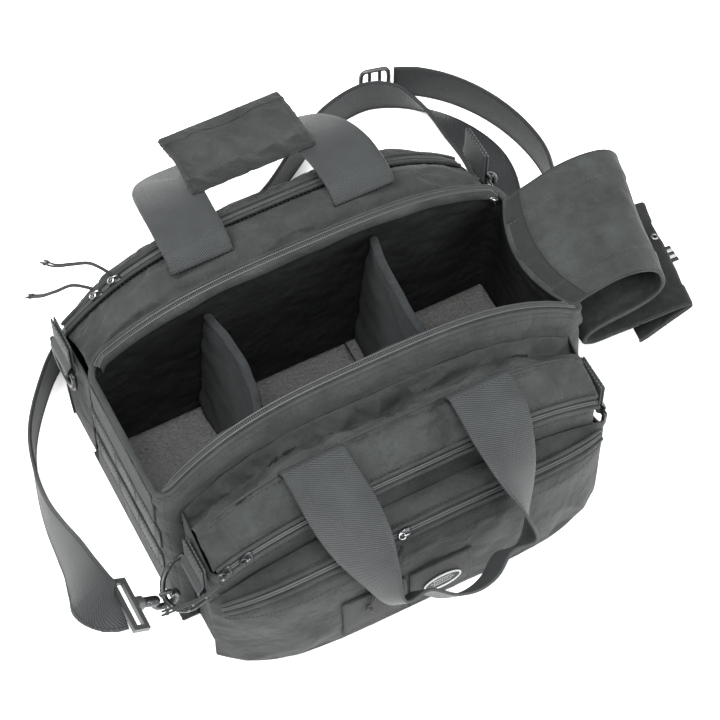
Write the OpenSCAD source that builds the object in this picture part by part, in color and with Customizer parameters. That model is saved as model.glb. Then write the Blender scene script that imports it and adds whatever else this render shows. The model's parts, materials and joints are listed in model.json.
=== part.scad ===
// Flight bag: soft nylon loaf with an open lid, two dividers and three zipped pockets.
// X runs along the bag (right end +X), front is -Y, Z is up, origin at the middle of the base.

/* [Main compartment] */
// Half of the outer length at the rim
body_half_l = 178; // [170:1:186]
// Half of the outer width at the middle of the rim
rim_half_w = 61; // [58:1:64]
// Half of the outer width at the floor
floor_half_w = 84; // [80:1:88]
// Height of the rim at the two ends
rim_end_z = 156; // [152:1:160]
// Rise of the rim from its ends to its middle
rim_arch = 52; // [48:1:54]
// Thickness of a padded wall
wall_t = 4; // [3:0.5:5]

/* [Pockets] */
// Front face of the front pocket
front_y = 120; // [117:1:123]
// Height of the front zip at its ends
front_zip_z = 122; // [118:1:126]
// Greatest depth of the outer pocket past the front pocket's face
outer_depth = 36; // [30:1:40]
// Height of the outer zip at its ends
outer_zip_z = 70; // [66:1:76]
// Back zip's distance behind the middle of the bag
back_zip_y = 122; // [118:1:126]
// Height of the back zip at its ends
back_zip_z = 120; // [116:1:124]

/* [Webbing] */
// Width of the carry-handle webbing
handle_w = 50; // [44:1:50]
// Width of the shoulder strap
strap_w = 38; // [32:1:38]
// Thickness of the webbing
web_t = 2.4; // [2:0.1:2.6]

/* [Hidden] */

$fn = 48;
nylon = [0.17, 0.18, 0.18];
webbing = [0.21, 0.22, 0.24];
fuzz = [0.1, 0.1, 0.1];
felt = [0.3, 0.31, 0.31];
metal = [0.6, 0.6, 0.62];
black_metal = [0.08, 0.08, 0.08];

gap = 0.4;         // clearance between neighbouring soft pieces
base_t = 3;        // outer bottom skin
stiff_t = 6;       // bottom board
pad_t = 7;         // floor pad
skin_t = 2;        // pocket fabric with its lining
cols = 22;         // steps along a lofted panel
front_half_l = 164; // end faces of the front pocket
back_half_l = 176; // end faces of the back pocket
arch_n = 3.2;      // squareness of the loaf's outline
rim_top = rim_end_z + rim_arch;
pad_top = base_t + stiff_t + pad_t;

// Rise of an arched edge: 1 in the middle, 0 at the ends
function arch(x, half) = 1 - pow(min(1, abs(x) / half), arch_n);
function rim_z(x) = rim_end_z + rim_arch * arch(x, body_half_l);
// Outer half width of the sloping walls at height z
function wall_y(z) = floor_half_w + (rim_half_w - floor_half_w) * z / rim_top;
function front_z(x) = front_zip_z + 27 * arch(x, 162);
function outer_z(x) = outer_zip_z + 29 * arch(x, 168);
function back_z(x) = back_zip_z + 60 * arch(x, 177);
function lerp(a, b, t) = a + (b - a) * t;
function span(half, n = cols) = [for (i = [0 : n]) -half + 2 * half * i / n];

// Closed sheet over a grid of points, made thick by moving a copy of the grid by t
module loft(grid, t) {
    m = len(grid);
    n = len(grid[0]);
    outward = cross(grid[1][0] - grid[0][0], grid[0][1] - grid[0][0]) * t > 0;
    top = [for (row = grid) for (p = row) p];
    low = [for (p = top) p + t];
    function id(i, j) = i * n + j;
    k = m * n;
    faces_top = [for (i = [0 : m - 2]) for (j = [0 : n - 2])
        each [[id(i, j), id(i + 1, j), id(i + 1, j + 1)], [id(i, j), id(i + 1, j + 1), id(i, j + 1)]]];
    faces_low = [for (f = faces_top) [f[2] + k, f[1] + k, f[0] + k]];
    rim = concat(
        [for (j = [0 : n - 2]) [id(0, j), id(0, j + 1)]],
        [for (i = [0 : m - 2]) [id(i, n - 1), id(i + 1, n - 1)]],
        [for (j = [n - 1 : -1 : 1]) [id(m - 1, j), id(m - 1, j - 1)]],
        [for (i = [m - 1 : -1 : 1]) [id(i, 0), id(i - 1, 0)]]
    );
    sides = [for (e = rim) each [[e[0], e[1], e[1] + k], [e[0], e[1] + k, e[0] + k]]];
    faces = concat(faces_top, faces_low, sides);
    polyhedron(points = concat(top, low), faces = [for (f = faces) outward ? f : [f[2], f[1], f[0]]]);
}

// Flat outline in (x, z), drawn as a plate between two y values
module plate_xz(points, y0, y1)
    translate([0, y1, 0]) rotate([90, 0, 0]) linear_extrude(y1 - y0) polygon(points);

// Flat outline in (y, z), drawn as a plate between two x values
module plate_yz(points, x0, x1)
    translate([x0, 0, 0]) rotate([90, 0, 90]) linear_extrude(x1 - x0) polygon(points);

// ---- Main compartment ----

module base_panel() {
    color(nylon)
        translate([-body_half_l, -floor_half_w, 0]) cube([2 * body_half_l, 2 * floor_half_w, base_t]);
}

module base_stiffener() {
    half_w = floor_half_w - wall_t - 2;
    color(black_metal)
        translate([wall_t + 1 - body_half_l, -half_w, base_t])
            cube([2 * (body_half_l - wall_t - 1), 2 * half_w, stiff_t]);
}

pad_edges = [1 + wall_t - body_half_l, -71, 45, body_half_l - wall_t - 1];

module floor_pad(i) {
    half_w = floor_half_w - wall_t - 3.5;
    color(felt)
        translate([pad_edges[i] + gap, -half_w, base_t + stiff_t])
            cube([pad_edges[i + 1] - pad_edges[i] - 2 * gap, 2 * half_w, pad_t]);
}

module floor_pad_left() floor_pad(0);
module floor_pad_middle() floor_pad(1);
module floor_pad_right() floor_pad(2);

// One long wall: an arched outline standing on a slope; side is -1 for the front and 1 for the back
module long_wall(side) {
    xs = span(body_half_l);
    color(nylon) loft([
        [for (x = xs) [x, side * wall_y(base_t), base_t + 0.1]],
        [for (x = xs) [x, side * wall_y(rim_z(x)), rim_z(x)]]
    ], [0, -side * wall_t, 0]);
}

module main_front_panel() long_wall(-1);
module main_back_panel() long_wall(1);

module end_wall(side) {
    inset = wall_t + gap;
    low_y = wall_y(base_t) - inset;
    high_y = wall_y(rim_end_z) - inset;
    z0 = base_t + 0.1;
    color(nylon) plate_yz(
        [[-low_y, z0], [low_y, z0], [high_y, rim_end_z], [-high_y, rim_end_z]],
        side > 0 ? body_half_l - wall_t : -body_half_l,
        side > 0 ? body_half_l : wall_t - body_half_l
    );
}

module left_end_panel() end_wall(-1);
module right_end_panel() end_wall(1);

// Zip tape standing just inside the rim
module rim_zip(side) {
    xs = span(body_half_l - wall_t - 2);
    color(webbing) loft([
        [for (x = xs) [x, side * (wall_y(rim_z(x) - 9) - wall_t - gap), rim_z(x) - 9]],
        [for (x = xs) [x, side * (wall_y(rim_z(x) + 2) - wall_t - gap), rim_z(x) + 2]]
    ], [0, -side * 1.4, 0]);
}

module rim_zip_front() rim_zip(-1);
module rim_zip_back() rim_zip(1);

// Loop tape along the top of the left end, where the lid's end closes
module left_loop_strip() {
    color(fuzz)
        translate([-body_half_l - 1.9, -54, rim_end_z - 42]) cube([1.8, 108, 38]);
}

// ---- Front pocket ----

module front_pocket_gusset() {
    half = front_half_l;
    y_face = front_y - skin_t - gap;
    top_back = front_zip_z + 16;
    color(nylon) {
        for (side = [-1, 1])
            plate_yz([
                [-wall_y(0) - gap, 0],
                [-y_face, 0],
                [-y_face, front_zip_z - 7],
                [-wall_y(top_back) - gap, top_back]
            ], side * half - (side > 0 ? skin_t : 0), side * half + (side > 0 ? 0 : skin_t));
        translate([skin_t - half, -y_face, 0])
            cube([2 * (half - skin_t), y_face - floor_half_w - gap, base_t]);
    }
}

module front_pocket_roof() {
    xs = span(162);
    color(nylon) loft([for (v = [0, 0.35, 0.7, 1])
        [for (x = xs)
            let (z_back = rim_z(x) - 24, bulge = 5 * sin(180 * v))
            [x, lerp(-wall_y(z_back) - gap - 0.6, -front_y, v), lerp(z_back, front_z(x), v) + bulge]]
    ], [0, 0, -skin_t]);
}

module front_pocket_face() {
    xs = span(164);
    color(nylon) loft([for (v = [0, 1])
        [for (x = xs) [x, -front_y, lerp(0.1, front_z(x) - skin_t - gap, v)]]
    ], [0, skin_t, 0]);
}

module front_pocket_zip() {
    xs = span(158);
    color(webbing) loft([
        [for (x = xs) [x, -front_y - 1.8, front_z(x) - 11]],
        [for (x = xs) [x, -front_y - 1.8, front_z(x) + 3]]
    ], [0, 1.5, 0]);
}

// Plan outline of the outer pocket: full depth in the middle, closing at both ends
function outer_y(x, part) = -front_y - gap - 0.2 - outer_depth * part * (1 - pow(abs(x) / 169, 5));

module outer_pocket_face() {
    xs = span(168);
    parts = [[0.02, 16], [0.35, 12], [0.7, 2]];
    drops = [[0.86, 0.3], [1, 0.6], [0.97, 0.85], [0.9, 0.975]];
    color(nylon) loft(concat(
        [for (p = parts) [for (x = xs) [x, outer_y(x, p[0]), outer_z(x) + p[1]]]],
        [for (d = drops) [for (x = xs) [x, outer_y(x, d[0]), lerp(outer_z(x), 2, d[1])]]]
    ), [0, -skin_t, skin_t]);
    color(nylon) linear_extrude(1.6) polygon(concat(
        [for (x = span(160)) [x, outer_y(x, 0.9) + 3.5]],
        [[160, -front_y - 0.8], [-160, -front_y - 0.8]]
    ));
}

module outer_pocket_zip() {
    xs = span(156);
    color(webbing) loft([
        [for (x = xs) [x, outer_y(x, 0.5) - 2.6, outer_z(x) + 11]],
        [for (x = xs) [x, outer_y(x, 0.72) - 3.6, outer_z(x) + 2.6]]
    ], [0, -1.5, 1.5]);
}

module loop_patches() {
    color(fuzz)
        for (x = [-52, 4])
            translate([x - 26, -front_y - outer_depth - 5.2, 20]) cube([52, 1.6, 50]);
}

// Plain oval badge with no mark
module badge() {
    color(webbing)
        translate([4, -front_y - outer_depth - 5.3, 45]) rotate([90, 0, 0])
            linear_extrude(1.4) scale([1.75, 1]) circle(r = 9);
}

// ---- Back pocket ----

module back_pocket_gusset() {
    half = back_half_l;
    y_face = back_zip_y + 10;
    color(nylon) {
        for (side = [-1, 1])
            plate_yz([
                [wall_y(0) + gap, 0],
                [y_face, 0],
                [y_face, back_zip_z - 22],
                [back_zip_y - 2, back_zip_z - 8],
                [wall_y(back_zip_z + 8) + gap, back_zip_z + 8]
            ], side * half - (side > 0 ? skin_t : 0), side * half + (side > 0 ? 0 : skin_t));
        translate([skin_t - half, floor_half_w + gap, 0])
            cube([2 * (half - skin_t), y_face - floor_half_w - gap, base_t]);
    }
}

module back_pocket_roof() {
    xs = span(174);
    color(nylon) loft([for (v = [0, 0.35, 0.7, 1])
        [for (x = xs)
            let (z_front = rim_z(x) - 12, bulge = 5 * sin(180 * v))
            [x, lerp(wall_y(z_front) + gap + 0.6, back_zip_y - 6, v), lerp(z_front, back_z(x), v) + bulge]]
    ], [0, 0, -skin_t]);
}

module back_pocket_zip() {
    xs = span(170);
    color(webbing) loft([
        [for (x = xs) [x, back_zip_y - 5.4, back_z(x) + 0.4]],
        [for (x = xs) [x, back_zip_y + 8.4, back_z(x) - 3.6]]
    ], [0, 0, -skin_t]);
}

module back_pocket_face() {
    xs = span(178);
    rows = [[9, 0.04], [17, 0.1], [22, 0.25], [22, 0.6], [20, 0.9], [18, 0.985]];
    color(nylon) loft([for (r = rows)
        [for (x = xs) [x, back_zip_y + r[0] - 6 * pow(abs(x) / 178, 6), lerp(back_z(x), 0.2, r[1])]]
    ], [0, -skin_t, -0.1]);
}

// ---- D-rings, tabs and hooks ----

ring_r = 2.25;       // wire radius
ring_half = 20;      // half of the straight bar between the leg centres
ring_drop = 8;       // straight part of each leg
bar_out = 5.4;       // bar axis outside the end face
// Each ring: side along X, y and z of the bar, swing away from hanging straight down, end face it is sewn to
rings = [
    [-1, -98, 92, 60, front_half_l], [1, -98, 92, 0, front_half_l],
    [-1, 108, 112, 0, back_half_l], [1, 108, 132, 15, back_half_l]
];

function ring_x(r) = r[0] * (r[4] + bar_out);

// D-ring with its bar on the Y axis, hanging towards -Z
module d_ring_shape() {
    translate([0, -ring_half, 0]) rotate([-90, 0, 0]) cylinder(r = ring_r, h = 2 * ring_half);
    for (s = [-1, 1]) {
        translate([0, s * ring_half, 0]) sphere(r = ring_r);
        translate([0, s * ring_half, -ring_drop]) cylinder(r = ring_r, h = ring_drop);
    }
    translate([0, 0, -ring_drop]) rotate([0, 90, 0]) rotate([0, 0, -90])
        rotate_extrude(angle = 180) translate([ring_half, 0]) circle(r = ring_r);
}

module d_ring(i) {
    r = rings[i];
    color(metal) translate([ring_x(r), r[1], r[2]]) rotate([0, r[0] > 0 ? -r[3] : r[3], 0]) d_ring_shape();
}

module d_ring_front_left() d_ring(0);
module d_ring_front_right() d_ring(1);
module d_ring_back_left() d_ring(2);
module d_ring_back_right() d_ring(3);

// Webbing folded round each bar, its two plies sewn above it
module ring_tabs() {
    tab_half = 16;
    inner = ring_r + 0.35;
    outer = inner + 1.7;
    color(webbing)
        for (r = rings)
            translate([ring_x(r), r[1] - tab_half, r[2]]) rotate([-90, 0, 0]) {
                difference() {
                    cylinder(r = outer, h = 2 * tab_half);
                    translate([0, 0, -1]) cylinder(r = inner, h = 2 * tab_half + 2);
                }
                translate([r[0] > 0 ? -outer : inner, -34, 0]) cube([outer - inner, 34, 2 * tab_half]);
            }
}

hook_r = 9.5;        // centre line of the hook's bight
hook_wire = 2.6;
shank_l = 16;
eye_half = 21;
// Each hook: ring index and the hook's direction in the XZ plane, in degrees up from +X
hooks = [[0, 150], [3, -80]];

// Middle of the ring's round end, where the hook hangs
function ring_end(r) =
    let (a = r[0] > 0 ? r[3] : -r[3], d = ring_drop + ring_half)
    [ring_x(r) + d * sin(a), r[1], r[2] - d * cos(a)];

// Places children with the hook's length along +X and the bight's centre at the origin
module at_hook(h) translate(ring_end(rings[h[0]])) rotate([0, -h[1], 0]) children();

module hook(h) {
    color(metal) at_hook(h) {
        rotate([90, 0, 0]) rotate_extrude(angle = 250)
            translate([hook_r, 0]) circle(r = hook_wire);
        translate([hook_r, 0, 0]) rotate([0, 90, 0]) cylinder(r = 4, h = shank_l - 4);
        translate([hook_r, 0, 0]) sphere(r = 4);
    }
}

module hook_front_left() hook(hooks[0]);
module hook_back_right() hook(hooks[1]);

// Sprung gate closing the hook's mouth
module gate(h) {
    color(black_metal) at_hook(h)
        rotate([90, 0, 0]) rotate([0, 0, 268])
            rotate_extrude(angle = 56) translate([hook_r, 0]) circle(r = hook_wire - 0.7);
}

module gate_front_left() gate(hooks[0]);
module gate_back_right() gate(hooks[1]);

eye_x = hook_r + shank_l;

// Rectangular eyes that the strap ends are sewn to, each with its swivel collar
module strap_eyes() {
    color(black_metal)
        for (h = hooks)
            at_hook(h) {
                translate([eye_x - 3.6, 0, 0]) rotate([0, 90, 0]) cylinder(r = 5.5, h = 5);
                translate([eye_x, -eye_half - 2, -2]) cube([4, 2 * eye_half + 4, 4]);
                translate([eye_x + 10, -eye_half - 2, -2]) cube([4, 2 * eye_half + 4, 4]);
                for (s = [-1, 1])
                    translate([eye_x + 2, s * eye_half - 2, -2]) cube([10, 4, 4]);
            }
}

// ---- Shoulder strap ----

// Route points: x, y, z and the roll of the webbing's width from upright, in degrees
strap_route = [
    [-228.9, -98, 98.3, 90], [-236, -96, 101, 86], [-243, -84, 100, 70], [-243, -62, 90, 45],
    [-241, -35, 74, 30], [-240, -5, 54, 18], [-238, 30, 36, 8], [-232, 66, 24, 2],
    [-220, 105, 20, 0], [-197, 140, 20, 0], [-168, 170, 20, 0], [-130, 186, 20, 0],
    [-70, 196, 20, 0], [-10, 208, 20, 0], [45, 228, 20, 0], [90, 258, 20, 0],
    [130, 282, 20, 0], [172, 290, 20, 0], [200, 278, 20, 8], [216, 256, 19, 30],
    [230, 228, 13, 60], [240, 196, 7, 80], [238, 168, 4, 88], [224, 136, 6, 90],
    [208, 112, 18, 90], [200, 108, 38, 90], [195.8, 108, 64.8, 90]
];
loop_route = [
    [200.2, 108, 65.7, 90], [206.5, 108, 54, 90], [220, 107.5, 38, 80], [240, 107, 27, 45],
    [260, 116, 21, 15], [274, 136, 20, 0], [280, 162, 20, 0], [277, 196, 20, 0],
    [266, 230, 20, 0], [248, 260, 20, 0], [226, 282, 20, 0], [206, 293, 20, 0]
];

function cut(p) = [p[0], p[1], p[2]];
function blend4(a, b, c, d, t) =
    0.5 * (2 * b + (c - a) * t + (2 * a - 5 * b + 4 * c - d) * t * t + (3 * b - a - 3 * c + d) * t * t * t);
// Smooth curve through all the points of a route
function smooth(r, steps) = concat(
    [for (i = [0 : len(r) - 2]) for (k = [0 : steps - 1])
        blend4(r[max(0, i - 1)], r[i], r[i + 1], r[min(len(r) - 1, i + 2)], k / steps)],
    [r[len(r) - 1]]
);
function unit(v) = v / norm(v);
function heading(c, i) = unit(cut(c[min(len(c) - 1, i + 1)]) - cut(c[max(0, i - 1)]));

// Flat webbing swept along a route
module flat_sweep(route, steps, w, t) {
    c = smooth(route, steps);
    n = len(c);
    points = [for (i = [0 : n - 1])
        let (
            f = heading(c, i),
            side = unit(cross(f, [0, 0, 1])),
            up = cross(side, f),
            a = c[i][3],
            wide = up * cos(a) + side * sin(a),
            thin = cross(f, wide)
        )
        each [
            cut(c[i]) + wide * w / 2 + thin * t / 2, cut(c[i]) - wide * w / 2 + thin * t / 2,
            cut(c[i]) - wide * w / 2 - thin * t / 2, cut(c[i]) + wide * w / 2 - thin * t / 2
        ]];
    walls = [for (i = [0 : n - 2]) for (j = [0 : 3])
        let (a = 4 * i + j, b = 4 * i + (j + 1) % 4)
        each [[a, b, b + 4], [a, b + 4, a + 4]]];
    last = 4 * (n - 1);
    polyhedron(points = points, faces = concat(walls, [[3, 2, 1, 0], [last, last + 1, last + 2, last + 3]]));
}

module shoulder_strap() color(webbing) flat_sweep(strap_route, 3, strap_w, web_t);
module strap_loop() color(webbing) flat_sweep(loop_route, 3, strap_w, web_t);

// Slide buckle where the strap's doubled run meets its long run
module strap_adjuster() {
    color(black_metal)
        translate([188, 296, 20]) rotate([0, 0, -14]) difference() {
            translate([-14, -2.5, -19.5]) cube([28, 5, 44]);
            for (x = [-8, 8])
                translate([x - 3, -4, -15]) cube([6, 8, 34]);
        }
}

// ---- Carry handles ----

leg_x = 68;          // leg centres from the middle of the bag
grip_x = 54;         // where the legs turn into the grip
front_pivot = [-92, 176];
back_pivot = [94, 200];
// Side profiles of a leg from its pivot, as (y, z) steps
front_profile = [[-6, 3], [-30, -2], [-62, -22], [-90, -52], [-108, -84]];
back_profile = [[7, 4], [32, 3], [60, -8], [88, -26], [102, -40]];

module handle(pivot, profile) {
    n = len(profile);
    function at(i, side, edge) =
        let (t = i / (n - 1), x = lerp(leg_x, grip_x, t * t), half = handle_w / 2)
        [side * x + edge * half, pivot[0] + profile[i][0], pivot[1] + profile[i][1]];
    tip = [pivot[0] + profile[n - 1][0], pivot[1] + profile[n - 1][1]];
    color(webbing) {
        for (side = [-1, 1])
            loft([for (i = [0 : n - 1]) [at(i, side, -1), at(i, side, 1)]], [0, 0, -web_t]);
        translate([-grip_x + handle_w / 2 - 1, tip[0] - 14, tip[1] - web_t + 0.7])
            cube([2 * grip_x - handle_w + 2, 30, web_t]);
    }
}

module front_handle() handle(front_pivot, front_profile);
module back_handle() handle(back_pivot, back_profile);

// Padded wrap lying open on the back handle's grip
wrap_z = back_pivot[1] + 7;
module handle_wrap() {
    xs = [for (i = [0 : 8]) -50 + 104 * i / 8];
    color(nylon) loft([for (v = [0 : 0.25 : 1])
        [for (x = xs) [x, lerp(140, 206, v), wrap_z - 10 * v + 5 * sin(180 * v)]]
    ], [0, 0, -5]);
}

// ---- Dividers ----

divider_t = 8;

module divider(x, top) {
    low = wall_y(pad_top) - wall_t - 1.5;
    high = wall_y(top) - wall_t - 1.5;
    z0 = pad_top + gap;
    color(felt)
        plate_yz([[-low, z0], [low, z0], [high, top], [-high, top]], x - divider_t / 2, x + divider_t / 2);
}

module divider_left() divider(-84, 180);
module divider_right() divider(56, 190);

// ---- Zip sliders and their cord pulls ----

// Slider with its wedge along X and a loop for the pull
module slider() {
    color(metal) {
        translate([-6, -4, 0]) cube([12, 8, 3]);
        translate([0, 0, 3]) rotate([90, 0, 90]) translate([0, 0, -2])
            rotate_extrude(angle = 180) translate([2.6, 0]) circle(r = 0.9);
    }
}

back_slider_x = [-142, -126];
module at_back_slider(x)
    translate([x, back_zip_y - 1, back_z(x) + 0.9]) rotate([-15, -atan((back_z(x + 2) - back_z(x - 2)) / 4), 0])
        children();

module back_zip_slider_left() at_back_slider(back_slider_x[0]) slider();
module back_zip_slider_right() at_back_slider(back_slider_x[1]) slider();

module front_zip_sliders() {
    for (x = [-153, -138])
        translate([x, -front_y - 2.2, front_z(x) - 4]) rotate([90, 0, 0])
            rotate([0, 0, atan((front_z(x + 2) - front_z(x - 2)) / 4)]) slider();
}

module outer_zip_slider() {
    x = -20;
    translate([x, outer_y(x, 0.64) - 5.6, outer_z(x) + 9.2]) rotate([36, 0, 0]) slider();
}

module lid_zip_slider(side) {
    x = 166;
    translate([x, side > 0 ? 58.6 : -55.6, rim_z(x) - 5]) rotate([90, 39, 0]) translate([-5, -3, 0]) cube([10, 6, 3]);
}

module lid_zip_slider_front() color(metal) lid_zip_slider(-1);
module lid_zip_slider_back() color(metal) lid_zip_slider(1);

// Thin cord swept along a route of points
module cord(route, steps, r) {
    c = smooth(route, steps);
    n = len(c);
    sides = 8;
    points = [for (i = [0 : n - 1])
        let (
            f = heading(c, i),
            a = unit(cross(f, [0, 0, 1])),
            b = cross(a, f)
        )
        for (k = [0 : sides - 1]) c[i] + r * (a * cos(360 * k / sides) + b * sin(360 * k / sides))];
    walls = [for (i = [0 : n - 2]) for (k = [0 : sides - 1])
        let (p = sides * i + k, q = sides * i + (k + 1) % sides)
        each [[p, p + sides, q + sides], [p, q + sides, q]]];
    first = [for (k = [0 : sides - 1]) k];
    last = [for (k = [sides - 1 : -1 : 0]) sides * (n - 1) + k];
    polyhedron(points = points, faces = concat(walls, [first, last]));
}

pull_r = 1.2;
back_pull_left_route = [
    [-144, 128, 156], [-156, 136, 158], [-168, 142, 150], [-178, 150, 140], [-186, 160, 132]
];
back_pull_right_route = [
    [-128, 128, 166], [-138, 140, 170], [-150, 150, 164], [-160, 160, 156], [-166, 172, 150]
];
front_pull_route = [
    [-160, -126, 121], [-170, -129, 121], [-182, -129, 118], [-194, -126, 114], [-205, -122, 108]
];
outer_pull_route = [
    [-24, -153.5, 103], [-34, -158, 93], [-46, -162.5, 81], [-56, -165, 68], [-59, -166, 54]
];

module back_pull_left() color(webbing) cord(back_pull_left_route, 2, pull_r);
module back_pull_right() color(webbing) cord(back_pull_right_route, 2, pull_r);
module front_pulls() color(webbing) cord(front_pull_route, 2, pull_r);
module outer_pull() color(webbing) cord(outer_pull_route, 2, pull_r);

// ---- Lid ----

lid_half_w = 54;
lid_t = 3;
lid_hinge = [body_half_l + 4, rim_end_z + 2];
// Length of each panel and its direction when open, in degrees up from +X
lid_lengths = [44, 40, 30, 28, 62, 24, 108, 54];
lid_open = [22, -12, -68, -140, -168, -100, -7, -158];

function lid_joint(i) = i == 0 ? lid_hinge
    : lid_joint(i - 1) + lid_lengths[i - 1] * [cos(lid_open[i - 1]), sin(lid_open[i - 1])];

// Distance kept clear of joint i, so that two panels folded there don't touch
function lid_clear(i) = i == 0 || i == len(lid_open) ? 1.2
    : max(1.2, lid_t / 2 * tan(abs(lid_open[i] - lid_open[i - 1]) / 2) + 0.3);

module lid_panel(i) {
    p = lid_joint(i);
    start = lid_clear(i);
    color(nylon)
        translate([p[0], -lid_half_w, p[1]]) rotate([0, -lid_open[i], 0])
            translate([start, 0, -lid_t / 2])
                cube([lid_lengths[i] - start - lid_clear(i + 1), 2 * lid_half_w, lid_t]);
}

module lid_panel_1() lid_panel(0);
module lid_panel_2() lid_panel(1);
module lid_panel_3() lid_panel(2);
module lid_panel_4() lid_panel(3);
module lid_panel_5() lid_panel(4);
module lid_panel_6() lid_panel(5);
module lid_panel_7() lid_panel(6);
module lid_panel_8() lid_panel(7);

base_panel();
base_stiffener();
floor_pad_left();
floor_pad_middle();
floor_pad_right();
main_front_panel();
main_back_panel();
left_end_panel();
right_end_panel();
rim_zip_front();
rim_zip_back();
left_loop_strip();
front_pocket_gusset();
front_pocket_roof();
front_pocket_face();
front_pocket_zip();
outer_pocket_face();
outer_pocket_zip();
back_pocket_gusset();
back_pocket_roof();
back_pocket_face();
back_pocket_zip();
loop_patches();
badge();
ring_tabs();
shoulder_strap();
strap_loop();
strap_adjuster();
strap_eyes();
d_ring_front_left();
d_ring_front_right();
d_ring_back_left();
d_ring_back_right();
front_handle();
back_handle();
handle_wrap();
divider_left();
divider_right();
back_zip_slider_left();
back_zip_slider_right();
front_zip_sliders();
outer_zip_slider();
lid_zip_slider_front();
lid_zip_slider_back();
back_pull_left();
back_pull_right();
front_pulls();
outer_pull();
hook_front_left();
hook_back_right();
gate_front_left();
gate_back_right();
lid_panel_1();
lid_panel_2();
lid_panel_3();
lid_panel_4();
lid_panel_5();
lid_panel_6();
lid_panel_7();
lid_panel_8();
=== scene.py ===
import json
import math

import bpy
import numpy as np
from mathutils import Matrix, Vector


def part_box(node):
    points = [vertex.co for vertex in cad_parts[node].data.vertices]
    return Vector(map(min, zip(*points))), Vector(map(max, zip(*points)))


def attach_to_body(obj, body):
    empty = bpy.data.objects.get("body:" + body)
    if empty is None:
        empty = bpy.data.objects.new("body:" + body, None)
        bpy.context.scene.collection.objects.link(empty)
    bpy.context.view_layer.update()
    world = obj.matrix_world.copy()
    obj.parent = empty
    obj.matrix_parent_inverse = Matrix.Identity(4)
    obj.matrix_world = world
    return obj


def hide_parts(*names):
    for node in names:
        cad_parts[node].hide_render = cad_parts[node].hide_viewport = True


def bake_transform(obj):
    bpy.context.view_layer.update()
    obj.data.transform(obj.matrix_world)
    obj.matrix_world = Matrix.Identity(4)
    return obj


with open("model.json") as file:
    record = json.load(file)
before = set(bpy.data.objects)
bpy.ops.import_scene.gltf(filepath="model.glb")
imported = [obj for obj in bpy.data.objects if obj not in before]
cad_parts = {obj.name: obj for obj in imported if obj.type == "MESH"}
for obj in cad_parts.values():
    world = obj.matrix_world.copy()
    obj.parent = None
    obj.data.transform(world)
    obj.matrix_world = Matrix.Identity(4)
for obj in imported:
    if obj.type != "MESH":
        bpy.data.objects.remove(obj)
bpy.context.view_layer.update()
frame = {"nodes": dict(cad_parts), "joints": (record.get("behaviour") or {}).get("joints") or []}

# All shapes below are worked out in millimetres in the row frame, and MM turns them into metres.
MM = 0.001
scene = bpy.context.scene


# ---- Driving sizes, read from the frame ----

def box_mm(node):
    low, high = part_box(node)
    return np.array(low) / MM, np.array(high) / MM


def middle_mm(node):
    low, high = box_mm(node)
    return (low + high) / 2


wall_low, wall_high = box_mm("main_back_panel")
end_low, end_high = box_mm("left_end_panel")
HALF_L = wall_high[0]
RIM_TOP = wall_high[2]
RIM_END = end_high[2]
WALL_T = end_high[0] - end_low[0]
RIM_W = wall_low[1] + WALL_T
FLOOR_W = box_mm("base_panel")[1][1]
BASE_T = box_mm("base_panel")[1][2]
PAD_TOP = box_mm("floor_pad_left")[1][2]
FRONT_Y = -box_mm("front_pocket_face")[0][1]
FRONT_HALF = box_mm("front_pocket_gusset")[1][0]
BACK_HALF = box_mm("back_pocket_gusset")[1][0]
ARCH_N = 3.2       # squareness of the loaf's outline
CORNER_R = 15      # rounding of the bag's upright corners
SEAM_DROP = 7      # from the rim down to the seam under it
OUTER_DEPTH = 36
BACK_ZIP_Y = 122
# Each pocket's zip: height of its ends, its rise in the middle, and half its length
FRONT_ZIP_Z, FRONT_RISE, FRONT_ZIP_HALF = 122, 27, 162
OUTER_ZIP_Z, OUTER_RISE, OUTER_ZIP_HALF = 70, 29, 168
BACK_ZIP_Z, BACK_RISE, BACK_ZIP_HALF = 120, 60, 177
# Directions across and out of the front and back zips
FRONT_TILT = np.array([[0, -0.54, -0.84], [0, -0.84, 0.54]])
BACK_TILT = np.array([[0, 0.96, -0.28], [0, 0.28, 0.96]])
WEB_T = 2.4
LID_T = 3
CLOTH_T = 1.7      # single cloth of the pockets
ROUTE_STEPS = 8    # points on a smooth curve for each point of its route


def arch(x, half):
    return 1 - np.minimum(1, np.abs(x) / half) ** ARCH_N


def rim_z(x):
    return RIM_END + (RIM_TOP - RIM_END) * arch(x, HALF_L)


def wall_y(z):
    return FLOOR_W + (RIM_W - FLOOR_W) * z / RIM_TOP


def front_z(x):
    return FRONT_ZIP_Z + FRONT_RISE * arch(x, FRONT_ZIP_HALF)


def outer_z(x):
    return OUTER_ZIP_Z + OUTER_RISE * arch(x, OUTER_ZIP_HALF)


def back_z(x):
    return BACK_ZIP_Z + BACK_RISE * arch(x, BACK_ZIP_HALF)


# ---- Small maths ----

def lerp(a, b, t):
    return a + (b - a) * t


def vec(*v):
    return np.array(v, float)


def unit(v):
    return v / np.maximum(np.linalg.norm(v, axis=-1, keepdims=True), 1e-9)


def bump(t, middle, width):
    """Smooth hill, 1 at the middle and 0 beyond the width"""
    d = np.clip(1 - ((t - middle) / width) ** 2, 0, 1)
    return d * d


def smooth(t):
    t = np.clip(t, 0, 1)
    return t * t * (3 - 2 * t)


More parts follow.
